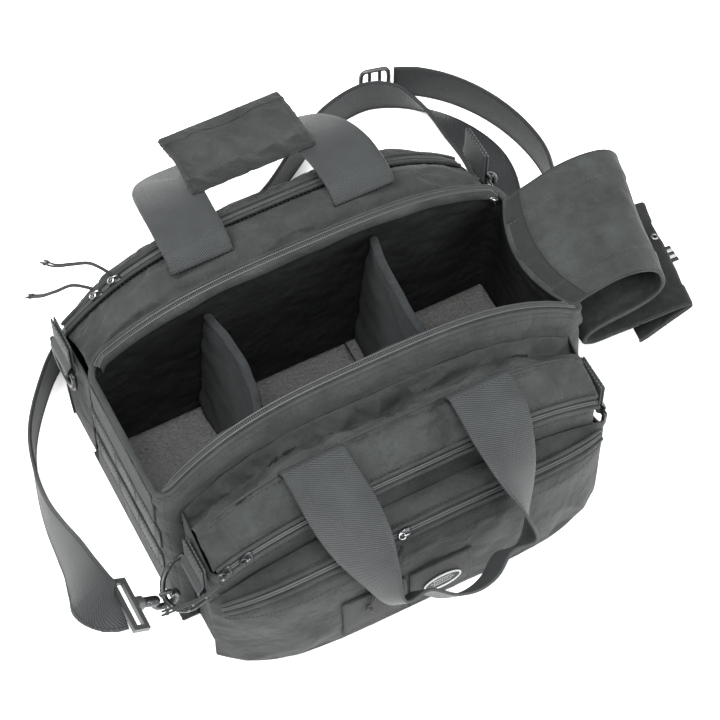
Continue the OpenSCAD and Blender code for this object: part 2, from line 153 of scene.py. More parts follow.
def crumple(u, v, size, seed):
    """Soft irregular height between about -1 and 1, with features about `size` across"""
    rng = np.random.default_rng(seed)
    total = 0
    for _ in range(8):
        a, _, p, q = rng.uniform(0, math.tau, 4)
        k = math.tau / (size * rng.uniform(0.6, 2.2))
        along = u * math.cos(a) + v * math.sin(a)
        across = v * math.cos(a) - u * math.sin(a)
        total = total + np.sin(k * along + p + 1.4 * np.sin(0.55 * k * across + q))
    return total / 4


def creases(u, v, size, seed):
    """Like crumple, with sharp ridges in place of round ones"""
    return 1 - 2 * np.abs(crumple(u, v, size, seed)) ** 0.7


def tangents(line):
    return unit(np.gradient(line, axis=0))


def resample(line, pitch, *others):
    """Points every `pitch` along a line, with other values carried along"""
    step = np.linalg.norm(np.diff(line, axis=0), axis=1)
    s = np.concatenate([[0], np.cumsum(step)])
    n = max(2, int(round(s[-1] / pitch)) + 1)
    at = np.linspace(0, s[-1], n)
    pick = lambda values: np.stack([np.interp(at, s, values[:, k]) for k in range(values.shape[1])], 1)
    return [pick(np.asarray(values, float)) for values in (line, *others)]


def smooth_route(route, steps):
    """Smooth curve through all the points of a route, as the CAD model draws it"""
    route = np.asarray(route, float)
    last = len(route) - 1
    out = []
    for i in range(last):
        a, b, c, d = route[max(0, i - 1)], route[i], route[i + 1], route[min(last, i + 2)]
        for k in range(steps):
            t = k / steps
            out.append(0.5 * (2 * b + (c - a) * t + (2 * a - 5 * b + 4 * c - d) * t * t
                              + (3 * b - a - 3 * c + d) * t ** 3))
    out.append(route[last])
    return np.array(out)


def surface(us, vs, f):
    """Grid of points f(u, v), rows along v and columns along u"""
    u, v = np.meshgrid(us, vs)
    x, y, z = f(u, v)
    return np.stack([x + 0 * u, y + 0 * u, z + 0 * u], -1)


def grid_normals(grid, loop=False):
    if loop:
        wide = np.concatenate([grid[:, -1:], grid, grid[:, :1]], 1)
        across = (wide[:, 2:] - wide[:, :-2]) / 2
    else:
        across = np.gradient(grid, axis=1)
    return unit(np.cross(across, np.gradient(grid, axis=0)))


def push(grid, amount, loop=False):
    return grid + grid_normals(grid, loop) * np.asarray(amount)[..., None]


def edge_fade(grid, width):
    """1 inside a panel and 0 on its edges, over `width` grid steps"""
    rows, cols = grid.shape[:2]
    r = np.minimum(np.arange(rows), rows - 1 - np.arange(rows))[:, None]
    c = np.minimum(np.arange(cols), cols - 1 - np.arange(cols))[None, :]
    return smooth(np.minimum(r, c) / width)


def settle(grid, pinned, grow=0.04, cap=6.0, bend=0.4, frames=20):
    """Cloth simulation of a panel cut a little too large and held where it is pinned"""
    rows, cols = grid.shape[:2]
    ids = np.arange(rows * cols).reshape(rows, cols)
    quads = np.stack([ids[:-1, :-1], ids[:-1, 1:], ids[1:, 1:], ids[1:, :-1]], -1).reshape(-1, 4)
    mesh = bpy.data.meshes.new("panel_cut")
    mesh.from_pydata((grid.reshape(-1, 3) * MM).tolist(), [], quads.tolist())
    panel = bpy.data.objects.new("panel_cut", mesh)
    scene.collection.objects.link(panel)
    held = panel.vertex_groups.new(name="held")
    held.add(np.flatnonzero(pinned.ravel()).tolist(), 1.0, "REPLACE")
    cloth = panel.modifiers.new("cloth", "CLOTH")
    cloth.settings.quality = 6
    cloth.settings.mass = 0.2
    cloth.settings.tension_stiffness = 12
    cloth.settings.compression_stiffness = 12
    cloth.settings.shear_stiffness = 4
    cloth.settings.bending_stiffness = bend
    cloth.settings.vertex_group_mass = "held"
    cloth.settings.shrink_min = -grow
    cloth.settings.effector_weights.gravity = 0
    cloth.collision_settings.use_collision = False
    cloth.point_cache.frame_start = 1
    cloth.point_cache.frame_end = frames
    for f in range(1, frames + 1):
        scene.frame_set(f)
    made = panel.evaluated_get(bpy.context.evaluated_depsgraph_get()).data
    out = np.zeros(rows * cols * 3)
    made.vertices.foreach_get("co", out)
    scene.frame_set(1)
    bpy.data.objects.remove(panel)
    bpy.data.meshes.remove(mesh)
    move = out.reshape(rows, cols, 3) / MM - grid
    far = np.linalg.norm(move, axis=-1, keepdims=True)
    return grid + move * np.minimum(1, cap / np.maximum(far, 1e-9))


# ---- Materials ----

class Shader:
    """Short names for building one node material"""

    def __init__(self, name, **settings):
        self.material = bpy.data.materials.new(name)
        self.material.use_nodes = True
        self.tree = self.material.node_tree
        self.main = self.tree.nodes["Principled BSDF"]
        for socket, value in settings.items():
            self.main.inputs[socket.replace("_", " ")].default_value = value

    def node(self, kind, links=(), **settings):
        made = self.tree.nodes.new(kind)
        for key, value in settings.items():
            if hasattr(made, key):
                setattr(made, key, value)
            else:
                made.inputs[key.replace("_", " ")].default_value = value
        for socket, source in dict(links).items():
            self.tree.links.new(source, made.inputs[socket])
        return made

    def place(self, kind="Object"):
        """Coordinates in millimetres: the object's own, or with UV those along and across the cloth"""
        where = self.node("ShaderNodeTexCoord")
        scale = self.node("ShaderNodeMapping", {"Vector": where.outputs[kind]})
        scale.inputs["Scale"].default_value = (1 / MM, 1 / MM, 1 / MM)
        return scale.outputs["Vector"]

    def noise(self, at, size, detail=3.0, roughness=0.6):
        made = self.node("ShaderNodeTexNoise", {"Vector": at}, Scale=1 / size, Detail=detail)
        made.inputs["Roughness"].default_value = roughness
        return made.outputs["Fac"]

    def wave(self, at, period, direction="X", warp=0.0):
        made = self.node("ShaderNodeTexWave", {"Vector": at}, bands_direction=direction)
        made.inputs["Scale"].default_value = 0.314 / period
        made.inputs["Distortion"].default_value = warp
        return made.outputs["Fac"]

    def turn(self, at, degrees):
        made = self.node("ShaderNodeMapping", {"Vector": at})
        made.inputs["Rotation"].default_value = (0, 0, math.radians(degrees))
        return made.outputs["Vector"]

    def math(self, operation, a, b):
        made = self.node("ShaderNodeMath", operation=operation)
        for socket, value in zip(made.inputs, (a, b)):
            if isinstance(value, (int, float)):
                socket.default_value = value
            else:
                self.tree.links.new(value, socket)
        return made.outputs[0]

    def ramp(self, source, stops):
        made = self.node("ShaderNodeValToRGB", {"Fac": source})
        line = made.color_ramp
        while len(line.elements) < len(stops):
            line.elements.new(0.5)
        for element, (place, colour) in zip(line.elements, stops):
            element.position = place
            element.color = (*colour, 1)
        return made.outputs["Color"]

    def mix(self, factor, a, b, kind="MIX"):
        made = self.node("ShaderNodeMix", data_type="RGBA", blend_type=kind)
        for key, value in (("Factor", factor), ("A", a), ("B", b)):
            socket = [s for s in made.inputs if s.name == key and s.enabled][0]
            if isinstance(value, (int, float)):
                socket.default_value = value
            elif isinstance(value, tuple):
                socket.default_value = (*value, 1)
            else:
                self.tree.links.new(value, socket)
        return [s for s in made.outputs if s.enabled][0]

    def finish(self, colour, roughness, height, depth_mm, pucker=None):
        """Colour and roughness sockets, a fine bump, and a broader one given as (height, depth)"""
        self.tree.links.new(colour, self.main.inputs["Base Color"])
        if isinstance(roughness, tuple):
            source, low, high = roughness
            spread = self.node("ShaderNodeMapRange", {"Value": source})
            spread.inputs["To Min"].default_value = low
            spread.inputs["To Max"].default_value = high
            self.tree.links.new(spread.outputs["Result"], self.main.inputs["Roughness"])
        if height is not None:
            relief = self.node("ShaderNodeBump", {"Height": height})
            relief.inputs["Distance"].default_value = depth_mm * MM
            if pucker:
                broad = self.node("ShaderNodeBump", {"Height": pucker[0]})
                broad.inputs["Distance"].default_value = pucker[1] * MM
                self.tree.links.new(broad.outputs["Normal"], relief.inputs["Normal"])
            self.tree.links.new(relief.outputs["Normal"], self.main.inputs["Normal"])
        return self.material


def scaled(colour, k):
    return tuple(min(1, c * k) for c in colour)


def grey(v):
    return v, v, v


def cloth(name, colour, thread=0.85, depth=0.2, sheen=0.03, blotch=34, rough=(0.6, 0.8), gloss=0.15):
    """Plain-woven nylon: over and under threads, faint blotches and paler worn places"""
    s = Shader(name, Sheen_Weight=sheen, Sheen_Roughness=0.45, Specular_IOR_Level=gloss)
    uv, at = s.place("UV"), s.place()
    warp = s.wave(uv, thread, "X", 0.35)
    weft = s.wave(uv, thread, "Y", 0.35)
    weave = s.math("MULTIPLY", warp, weft)
    fibre = s.noise(uv, 0.45, 2.0)
    height = s.math("ADD", weave, s.math("MULTIPLY", fibre, 0.5))
    broad = s.noise(at, blotch, 4.0, 0.62)
    tone = s.ramp(broad, [(0.3, scaled(colour, 0.68)), (0.52, colour), (0.72, scaled(colour, 1.34))])
    fine = s.ramp(weave, [(0.0, grey(0.66)), (0.6, grey(1.08))])
    speck = s.ramp(s.noise(at, 2.2, 3.0, 0.7), [(0.35, grey(0.88)), (0.7, grey(1.1))])
    colour_out = s.mix(1.0, s.mix(1.0, tone, fine, "MULTIPLY"), speck, "MULTIPLY")
    fold = s.math("ABSOLUTE", s.math("SUBTRACT", s.noise(at, 46, 2.5, 0.55), 0.5), 0)
    pucker = s.math("ADD", s.noise(at, 13, 3.0, 0.5), s.math("MULTIPLY", fold, 3.4))
    return s.finish(colour_out, (broad, *rough), height, depth, pucker=(pucker, 3.2))


def twill(name, colour, rib=1.5, depth=0.34, sheen=0.01):
    """Broad nylon webbing: slanted ribs over fine cross threads"""
    s = Shader(name, Sheen_Weight=sheen, Sheen_Roughness=0.4, Specular_IOR_Level=0.2)
    uv, at = s.place("UV"), s.place()
    slanted = s.wave(s.turn(uv, 62), rib, "X", 0.25)
    cross_rib = s.wave(uv, rib * 0.62, "X", 0.2)
    ends = s.wave(uv, rib * 0.5, "Y", 0.2)
    body = s.math("ADD", slanted, s.math("MULTIPLY", s.math("MULTIPLY", cross_rib, ends), 0.7))
    broad = s.noise(at, 26, 3.0)
    tone = s.ramp(broad, [(0.3, scaled(colour, 0.85)), (0.7, scaled(colour, 1.15))])
    fine = s.ramp(body, [(0.1, grey(0.42)), (0.9, grey(1.45))])
    return s.finish(s.mix(1.0, tone, fine, "MULTIPLY"), (body, 0.62, 0.44), body, depth)


def pile(name, colour, size=1.1, depth=0.5, light=1.6, sheen=0.08):
    """Brushed loop pile or felt: matted fibres that catch the light here and there"""
    s = Shader(name, Sheen_Weight=sheen, Sheen_Roughness=0.6, Roughness=0.95, Specular_IOR_Level=0.12)
    at = s.place()
    fibres = s.noise(at, size, 5.0, 0.75)
    mats = s.noise(at, size * 8, 3.0)
    tone = s.ramp(mats, [(0.3, scaled(colour, 0.8)), (0.7, scaled(colour, 1.2))])
    fine = s.ramp(fibres, [(0.35, grey(0.55)), (0.72, grey(light))])
    return s.finish(s.mix(1.0, tone, fine, "MULTIPLY"), (fibres, 0.85, 0.98), fibres, depth)


def rough_pad(name, colour):
    """Pressed pad with a coarse leathery grain"""
    s = Shader(name, Specular_IOR_Level=0.45)
    at = s.place()
    cells = s.node("ShaderNodeTexVoronoi", {"Vector": at}, feature="SMOOTH_F1")
    cells.inputs["Scale"].default_value = 1 / 2.6
    grain = s.noise(at, 2.0, 5.0, 0.8)
    height = s.math("ADD", s.math("MULTIPLY", cells.outputs["Distance"], 0.9),
                    s.math("MULTIPLY", grain, 1.4))
    broad = s.noise(at, 60, 2.0)
    tone = s.ramp(broad, [(0.3, scaled(colour, 0.85)), (0.7, scaled(colour, 1.12))])
    fine = s.ramp(grain, [(0.36, grey(0.64)), (0.52, grey(0.98)), (0.68, (1.5, 1.5, 1.48))])
    return s.finish(s.mix(1.0, tone, fine, "MULTIPLY"), (grain, 0.4, 0.6), height, 1.4)


def hard(name, colour, worn, metallic, low, high, edge=0.66):
    """Painted metal or moulded plastic with scuffs down to a brighter layer"""
    s = Shader(name, Metallic=metallic)
    at = s.place()
    scuff = s.noise(at, 3.2, 6.0, 0.72)
    grain = s.noise(at, 0.7, 3.0)
    colour_out = s.ramp(scuff, [(0.0, scaled(colour, 0.85)), (edge - 0.06, colour), (edge + 0.03, worn)])
    return s.finish(colour_out, (scuff, high, low), grain, 0.06)


NYLON = (0.0235, 0.0263, 0.0254)
PAINTS = {
    "nylon": cloth("nylon_cloth", NYLON),
    # Nylon at half brightness: painted shade on the lid's underside inside the roll, and on the end flap
    # darker cloth with painted shade over it
    "nylon_dark_and_painted_shade": cloth("nylon_cloth_dark_and_painted_shade", scaled(NYLON, 0.5)),
    "lining": cloth("lining_cloth", (0.0105, 0.011, 0.0114), sheen=0.0, rough=(0.75, 0.9), gloss=0.08),
    "tape": cloth("zip_tape", (0.017, 0.0185, 0.019), thread=1.3, depth=0.2),
    "coil": hard("zip_coil", (0.016, 0.0175, 0.018), (0.034, 0.036, 0.037), 0.0, 0.5, 0.7),
    "thread": cloth("sewing_thread", scaled(NYLON, 0.72), thread=0.5, depth=0.05),
    "thread_pale": cloth("sewing_thread_pale", scaled(NYLON, 1.9), thread=0.5, depth=0.05),
    "webbing": twill("nylon_webbing", (0.0185, 0.0204, 0.021)),
    "webbing_dark": twill("nylon_webbing_dark", (0.0135, 0.0149, 0.0155)),
    "loop": pile("loop_pile", (0.008, 0.0086, 0.0086), depth=0.7),
    "felt": pile("divider_felt", (0.012, 0.0134, 0.0141), size=0.9, depth=0.5, light=1.6, sheen=0.02),
    "pad": rough_pad("speckled_pad", (0.076, 0.0775, 0.075)),
    "cord": twill("braided_cord", (0.014, 0.015, 0.0155), rib=1.2, depth=0.2),
    "steel": hard("worn_black_steel", (0.022, 0.023, 0.024), (0.3, 0.31, 0.32), 0.8, 0.28, 0.45, 0.64),
    "bright": hard("bright_steel", (0.16, 0.165, 0.17), (0.5, 0.51, 0.52), 1.0, 0.22, 0.4, 0.56),
    "plastic": hard("black_plastic", (0.018, 0.0185, 0.019), (0.06, 0.06, 0.061), 0.0, 0.3, 0.5),
    "board": hard("grey_board", (0.03, 0.029, 0.028), (0.06, 0.058, 0.056), 0.0, 0.7, 0.85),
    "embroidery": twill("pale_embroidery", (0.3, 0.31, 0.31), rib=0.9, depth=0.2),
}


# ---- Pieces ----

BEAD = np.array([
    [-0.5, 0, -0.35], [-0.3, -0.5, -0.2], [-0.3, 0.5, -0.2], [-0.3, 0, 0.42],
    [0.3, -0.5, -0.2], [0.3, 0.5, -0.2], [0.3, 0, 0.42], [0.5, 0, -0.35],
])
BEAD_FACES = [
    (0, 1, 3), (0, 3, 2), (0, 2, 1), (1, 4, 6, 3), (3, 6, 5, 2), (2, 5, 4, 1),
    (7, 6, 4), (7, 5, 6), (7, 4, 5),
]


class Piece:
    """Closed solids gathered into one object, each with its own finish"""

    def __init__(self, name):
        self.name = name
        self.points, self.uvs, self.faces, self.paints, self.flats = [], [], [], [], []
        self.used = []
        self.count = 0

    def add(self, points, uvs, faces, paint, flat=False):
        """paint is one finish, or one for each face"""
        names = [paint] * len(faces) if isinstance(paint, str) else paint
        for name in names:
            if name not in self.used:
                self.used.append(name)
        self.points.append(np.asarray(points, float))
        self.uvs.append(np.asarray(uvs, float))
        base = self.count
        self.faces += [tuple(i + base for i in f) for f in faces]
        self.paints += [self.used.index(name) for name in names]
        self.flats += [flat] * len(faces) if isinstance(flat, bool) else flat
        self.count += len(points)

    def sheet(self, grid, thick, top, under=None, rim=None, loop=False, square=()):
        """Closed sheet below a grid of points, with round rims except on the sides named in square"""
        rows, cols = grid.shape[:2]
        normal = grid_normals(grid, loop)
        thick = np.broadcast_to(np.asarray(thick, float), (rows, cols))
        below = grid - normal * thick[..., None]
        step_u = np.linalg.norm(np.diff(grid, axis=1), axis=-1)
        step_v = np.linalg.norm(np.diff(grid, axis=0), axis=-1)
        u = np.concatenate([np.zeros((rows, 1)), np.cumsum(step_u, 1)], 1)
        v = np.concatenate([np.zeros((1, cols)), np.cumsum(step_v, 0)], 0)
        u = u - u[:, cols // 2:cols // 2 + 1]
        v = np.repeat(v[:, cols // 2:cols // 2 + 1], cols, 1)
        uv = np.stack([u, v], -1)
        ids = np.arange(rows * cols).reshape(rows, cols)
        wide = np.concatenate([ids, ids[:, :1]], 1) if loop else ids
        quads = np.stack([wide[:-1, :-1], wide[:-1, 1:], wide[1:, 1:], wide[1:, :-1]], -1).reshape(-1, 4)
        k = rows * cols
        faces = quads.tolist() + (quads[:, ::-1] + k).tolist()
        tops = [top] * len(quads) if isinstance(top, str) else list(top)
        paints = tops + [under or tops[0]] * len(quads)
        edge_paint = rim or tops[0]
        flats = [False] * len(faces)
        points = [grid.reshape(-1, 3), below.reshape(-1, 3)]
        uvs = [uv.reshape(-1, 2), uv.reshape(-1, 2)]
        along, across = np.gradient(grid, axis=0), np.gradient(grid, axis=1)
        if loop:
            sides = [("row0", wide[0], -1), ("row1", wide[-1][::-1], 1)]
        else:
            sides = [("row0", ids[0], -1), ("col1", ids[:, -1], 1),
                     ("row1", ids[-1][::-1], 1), ("col0", ids[:, 0][::-1], -1)]
        out = np.zeros((k, 3))
        for name, line, sign in sides:
            way = along if name.startswith("row") else across
            out[line] += sign * unit(way.reshape(-1, 3)[line])
        out = unit(out)
        half = thick.reshape(-1)[:, None] / 2
        middle = grid.reshape(-1, 3) - normal.reshape(-1, 3) * half + out * half * 0.9
        edge_ids = np.unique(np.concatenate([line for _, line, _ in sides]))
        place = {int(e): 2 * k + i for i, e in enumerate(edge_ids)}
        points.append(middle[edge_ids])
        uvs.append(uv.reshape(-1, 2)[edge_ids])
        count = 2 * k + len(edge_ids)
        both = np.concatenate([grid.reshape(-1, 3), below.reshape(-1, 3)])
        for name, line, _ in sides:
            if name in square:
                # a cut end has its own points, so that its flat shading stays off the faces beside it
                m = len(line)
                points.append(both[np.concatenate([line, line + k])])
                uvs.append(uv.reshape(-1, 2)[np.concatenate([line, line])])
                faces += [(i, m + i, m + i + 1, i + 1) for i in range(count, count + m - 1)]
                paints += [edge_paint] * (m - 1)
                flats += [True] * (m - 1)
                count += 2 * m
                continue
            for a, b in zip(line[:-1].tolist(), line[1:].tolist()):
                faces += [(a, place[a], place[b], b), (place[a], a + k, b + k, place[b])]
                paints += [edge_paint] * 2
                flats += [False] * 2
        self.add(np.concatenate(points), np.concatenate(uvs) * MM, faces, paints, flats)
        return self

    def ribbon(self, path, wide, width, thick, paint, across=9):
        """Flat webbing along a path; wide is the direction of its width at each point"""
        path = np.asarray(path, float)
        wide = unit(np.broadcast_to(np.asarray(wide, float), path.shape))
        t = np.linspace(-0.5, 0.5, across)
        grid = path[:, None] + wide[:, None] * (t[None, :, None] * width)
        grid = push(grid, np.full(grid.shape[:2], thick / 2))
        return self.sheet(grid, thick, paint)

    def tube(self, path, radius, paint, sides=8, flatten=1.0, up=None):
        """Round or flattened tube with domed ends"""
        path = np.asarray(path, float)
        n = len(path)
        radius = np.broadcast_to(np.asarray(radius, float), (n,))
        way = tangents(path)
        side = np.zeros_like(path)
        side[0] = unit(np.cross(way[0], vec(0, 0, 1) if abs(way[0][2]) < 0.9 else vec(1, 0, 0)))
        for i in range(1, n):
            side[i] = unit(side[i - 1] - way[i] * np.dot(side[i - 1], way[i]))
        if up is not None:
            up = np.broadcast_to(np.asarray(up, float), path.shape)
            side = unit(np.cross(way, up))
        other = np.cross(side, way)
        ends = [(0, -0.75, 0.66), *[(i, 0, 1) for i in range(n)], (n - 1, 0.75, 0.66)]
        angle = np.arange(sides) * math.tau / sides
        rings, uvs = [], []
        length = np.concatenate([[0], np.cumsum(np.linalg.norm(np.diff(path, axis=0), axis=1))])
        for i, slide, size in ends:
            centre = path[i] + way[i] * slide * radius[i]
            ring = centre + radius[i] * size * (np.cos(angle)[:, None] * side[i]
                                                + np.sin(angle)[:, None] * other[i] * flatten)
            rings.append(ring)
            fold = (math.pi - np.abs(angle - math.pi)) * radius[i]
            uvs.append(np.stack([np.full(sides, length[i] + slide * radius[i]), fold], 1))
        m = len(rings)
        faces = [(r + a, r + (a + 1) % sides, r + sides + (a + 1) % sides, r + sides + a)
                 for r in range(0, (m - 1) * sides, sides) for a in range(sides)]
        tips = [path[0] - way[0] * radius[0], path[-1] + way[-1] * radius[-1]]
        k = m * sides
        faces += [(k, (a + 1) % sides, a) for a in range(sides)]
        faces += [(k + 1, (m - 1) * sides + a, (m - 1) * sides + (a + 1) % sides) for a in range(sides)]
        points = np.concatenate([*rings, tips])
        uv = np.concatenate([*uvs, [[0, 0], [length[-1], 0]]]) * MM
        # rings turn about the path the right way round only if side, other and way form a left-hand set
        if np.dot(np.cross(side[0], other[0]), way[0]) > 0:
            self.add(points, uv, faces, paint)
        else:
            self.add(points, uv, [tuple(reversed(f)) for f in faces], paint)
        return self

    def beads(self, centres, along, up, length, width, height, paint):
        """Many small rounded bars, such as stitches or zip teeth"""
        centres = np.asarray(centres, float)
        n = len(centres)
        along = unit(np.broadcast_to(np.asarray(along, float), (n, 3)))
        up = np.broadcast_to(np.asarray(up, float), (n, 3))
        side = unit(np.cross(up, along))
        up = np.cross(along, side)
        size = BEAD * vec(length, width, height)
        points = (centres[:, None] + size[None, :, :1] * along[:, None]
                  + size[None, :, 1:2] * side[:, None] + size[None, :, 2:] * up[:, None])
        uv = np.broadcast_to(BEAD[None, :, :2] * vec(length, width), (n, 8, 2)) * MM
        faces = [tuple(i + 8 * j for i in f) for j in range(n) for f in BEAD_FACES]
        self.add(points.reshape(-1, 3), uv.reshape(-1, 2), faces, paint)
        return self

    def stitches(self, line, normal, paint="thread", pitch=3.6, length=2.7, lift=0.1):
        """Row of stitches lying on a surface"""
        normal = np.broadcast_to(np.asarray(normal, float), np.shape(line))
        at, up = resample(np.asarray(line, float), pitch, normal)
        return self.beads(at + unit(up) * lift, tangents(at), up, length, 0.75, 0.6, paint)

    def build(self, body="bag", between=None, replaces=None):
        """Makes the object, which replaces the CAD node of its own name unless others are given.
        between is (body_a, body_b, start, end) for cloth that crosses a joint."""
        points = np.concatenate(self.points) * MM
        mesh = bpy.data.meshes.new(self.name)
        mesh.from_pydata(points.tolist(), [], self.faces)
        for name in self.used:
            mesh.materials.append(PAINTS[name])
        mesh.polygons.foreach_set("material_index", self.paints)
        mesh.polygons.foreach_set("use_smooth", [not f for f in self.flats])
        layer = mesh.uv_layers.new(name="cloth")
        corner = np.zeros(len(mesh.loops), int)
        mesh.loops.foreach_get("vertex_index", corner)
        layer.data.foreach_set("uv", np.concatenate(self.uvs)[corner].ravel())
        mesh.update()
        made = bpy.data.objects.new(self.name, mesh)
        scene.collection.objects.link(made)
        if between:
            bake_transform(made)
        else:
            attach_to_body(made, body)
        if replaces is None:
            replaces = [self.name]
        if replaces:
            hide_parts(*replaces)
        return made


def zip_run(name, line, across, up, width=10.5, gap=4.4, lip_r=1.5):
    """Closed zip along a line: tape, a coil of small bars, and a stitched lip of cloth on each side"""
    piece = Piece(name)
    across = unit(np.broadcast_to(np.asarray(across, float), line.shape))
    up = unit(np.broadcast_to(np.asarray(up, float), line.shape))
    line, across, up = resample(line, 3.0, across, up)
    piece.ribbon(line, across, width, 0.8, "tape", across=5)
    at, side, top = resample(line, 1.5, across, up)
    piece.beads(at + top * 0.9, side, top, 4.6, 1.1, 1.7, "coil")
    for offset in (-0.9, 0.9):
        piece.tube(at[::2] + top[::2] * 0.8 + side[::2] * offset, 0.75, "coil", sides=6)
    for sign in (-1, 1):
        wave = crumple(np.arange(len(line)) * 3.0, 0, 40, 11 + sign) * 0.35
        edge = line + across * (sign * (gap + wave))[:, None] + up * 0.9
        piece.tube(edge, lip_r, "nylon", sides=8, flatten=0.9, up=up)
        piece.stitches(line + across * (sign * (gap + 3.6)) + up * 0.85, up)
    piece.build()


# ---- Camera, made before the pieces ----

TARGET = vec(0, 0, 0.1)                       # metres
VIEW_FROM = vec(-0.4335, -0.8695, 1.6867)     # metres
FOCAL_MM = 120.9
SENSOR_MM = 36
AIM_RIGHT, AIM_UP = 0.0093879, 0.0079818      # aim past the target, as a share of the distance

camera_data = bpy.data.cameras.new("camera")
camera_data.lens = FOCAL_MM
camera_data.sensor_width = SENSOR_MM
camera = bpy.data.objects.new("camera", camera_data)
scene.collection.objects.link(camera)
camera.location = VIEW_FROM
camera.rotation_mode = "QUATERNION"
look = Vector(TARGET) - Vector(VIEW_FROM)
aim = look.to_track_quat("-Z", "Y")
look = look.normalized() + aim @ Vector((AIM_RIGHT, AIM_UP, 0))
camera.rotation_quaternion = look.to_track_quat("-Z", "Y")
scene.camera = camera


# ---- Cords and straps: routes as in the CAD model ----

STRAP_ROUTE = [
    [-228.9, -98, 98.3, 90], [-236, -96, 101, 86], [-243, -84, 100, 70], [-243, -62, 90, 45],
    [-241, -35, 74, 30], [-240, -5, 54, 18], [-238, 30, 36, 8], [-232, 66, 24, 2],
    [-220, 105, 20, 0], [-197, 140, 20, 0], [-168, 170, 20, 0], [-130, 186, 20, 0],
    [-70, 196, 20, 0], [-10, 208, 20, 0], [45, 228, 20, 0], [90, 258, 20, 0],
    [130, 282, 20, 0], [172, 290, 20, 0], [200, 278, 20, 8], [216, 256, 19, 30],
    [230, 228, 13, 60], [240, 196, 7, 80], [238, 168, 4, 88], [224, 136, 6, 90],
    [208, 112, 18, 90], [200, 108, 38, 90], [195.8, 108, 64.8, 90],
]
LOOP_ROUTE = [
    [200.2, 108, 65.7, 90], [206.5, 108, 54, 90], [220, 107.5, 38, 80], [240, 107, 27, 45],
    [260, 116, 21, 15], [274, 136, 20, 0], [280, 162, 20, 0], [277, 196, 20, 0],
    [266, 230, 20, 0], [248, 260, 20, 0], [226, 282, 20, 0], [206, 293, 20, 0],
]
STRAP_W = 38
PULL_R = 1.2
PULL_ROUTES = {
    "back_pull_left": ("back_slider_left", [
        [-144, 128, 156], [-156, 136, 158], [-168, 142, 150], [-178, 150, 140], [-186, 160, 132]]),
    "back_pull_right": ("back_slider_right", [
        [-128, 128, 166], [-138, 140, 170], [-150, 150, 164], [-160, 160, 156], [-166, 172, 150]]),
    "front_pulls": ("front_sliders", [
        [-160, -126, 121], [-170, -129, 121], [-182, -129, 118], [-194, -126, 114], [-205, -122, 108]]),
    "outer_pull": ("outer_slider", [
        [-24, -153.5, 103], [-34, -158, 93], [-46, -162.5, 81], [-56, -165, 68], [-59, -166, 54]]),
}


def line_length(line):
    return float(np.linalg.norm(np.diff(line, axis=0), axis=1).sum())


def rolled_width(line, roll):
    """Direction of the webbing's width, from its roll about the path"""
    way = tangents(line)
    side = unit(np.cross(way, vec(0, 0, 1)))
    upright = np.cross(side, way)
    a = np.radians(roll)[:, None]
    return upright * np.cos(a) + side * np.sin(a)


def strap(name, route):
    c = smooth_route(route, ROUTE_STEPS)
    line, roll = resample(c[:, :3], 4.0, c[:, 3:])
    wide = rolled_width(line, roll[:, 0])
    piece = Piece(name)
    piece.ribbon(line, wide, STRAP_W, WEB_T, "webbing_dark", across=13)
    thin = np.cross(tangents(line), wide)
    # woven ribs along both edges of both faces
    for face in (-1, 1):
        for edge in (-1, 1):
            rib = line + wide * (edge * (STRAP_W / 2 - 1.6)) + thin * (face * WEB_T / 2)
            piece.tube(rib, 0.55, "webbing_dark", sides=6)
    # sewn rows where the end folds back round its eye
    for at in (4, 7):
        for face in (-1, 1):
            bar = line[at] + wide[at] * np.linspace(-15, 15, 9)[:, None] + thin[at] * face * WEB_T / 2
            piece.stitches(bar, thin[at] * face, "thread_pale")
    made = piece.build()


def pull(name, body, route):
    """Cord pull: a doubled cord out of the slider's loop, with a turn of cord round each end"""
    line, = resample(smooth_route(route, ROUTE_STEPS), 2.0)
    piece = Piece(name)
    way = tangents(line)
    side = unit(np.cross(way, vec(0.2, 0.1, 1)))
    spread = 0.6 + 1.2 * np.linspace(0, 1, len(line)) ** 2
    knot = len(line) - 3
    around = np.linspace(0, 2.2 * math.tau, 36)
    other = np.cross(way[knot], side[knot])
    for sign in (-1, 1):
        strand = line + side * (sign * spread)[:, None]
        piece.tube(strand, PULL_R * 0.75, "cord", sides=8)
        turns = (strand[knot] + way[knot] * np.linspace(-1.3, 1.3, 36)[:, None]
                 + 0.7 * (np.cos(around)[:, None] * side[knot] + np.sin(around)[:, None] * other))
        piece.tube(turns, 0.75, "cord", sides=6)
    made = piece.build(body=body)


def strap_adjuster():
    """Moulded slide buckle: a frame and two bars, with the strap's doubled run through it"""
    centre = vec(188, 296, 22)
    turn = math.radians(-14)
    long = vec(math.cos(turn), math.sin(turn), 0)
    out = vec(-math.sin(turn), math.cos(turn), 0)
    piece = Piece("strap_adjuster")
    t = np.linspace(0, math.tau, 49)
    square = lambda q: np.sign(q) * np.abs(q) ** 0.35
    ring = (centre + long * (12.5 * square(np.cos(t)))[:, None]
            + vec(0, 0, 1) * (20.5 * square(np.sin(t)))[:, None])
    piece.tube(ring, 2.0, "plastic", sides=10)
    bar = np.linspace(-19, 19, 13)[:, None] * vec(0, 0, 1)
    for x in (-4.5, 4.5):
        piece.tube(centre + long * x + bar + out * 0.6, 1.7, "plastic", sides=10)
    return piece.build()


adjuster = strap_adjuster()
strap("shoulder_strap", STRAP_ROUTE)
strap("strap_loop", LOOP_ROUTE)
for pull_name, (pull_body, pull_route) in PULL_ROUTES.items():
    pull(pull_name, pull_body, pull_route)


# ---- Main compartment ----

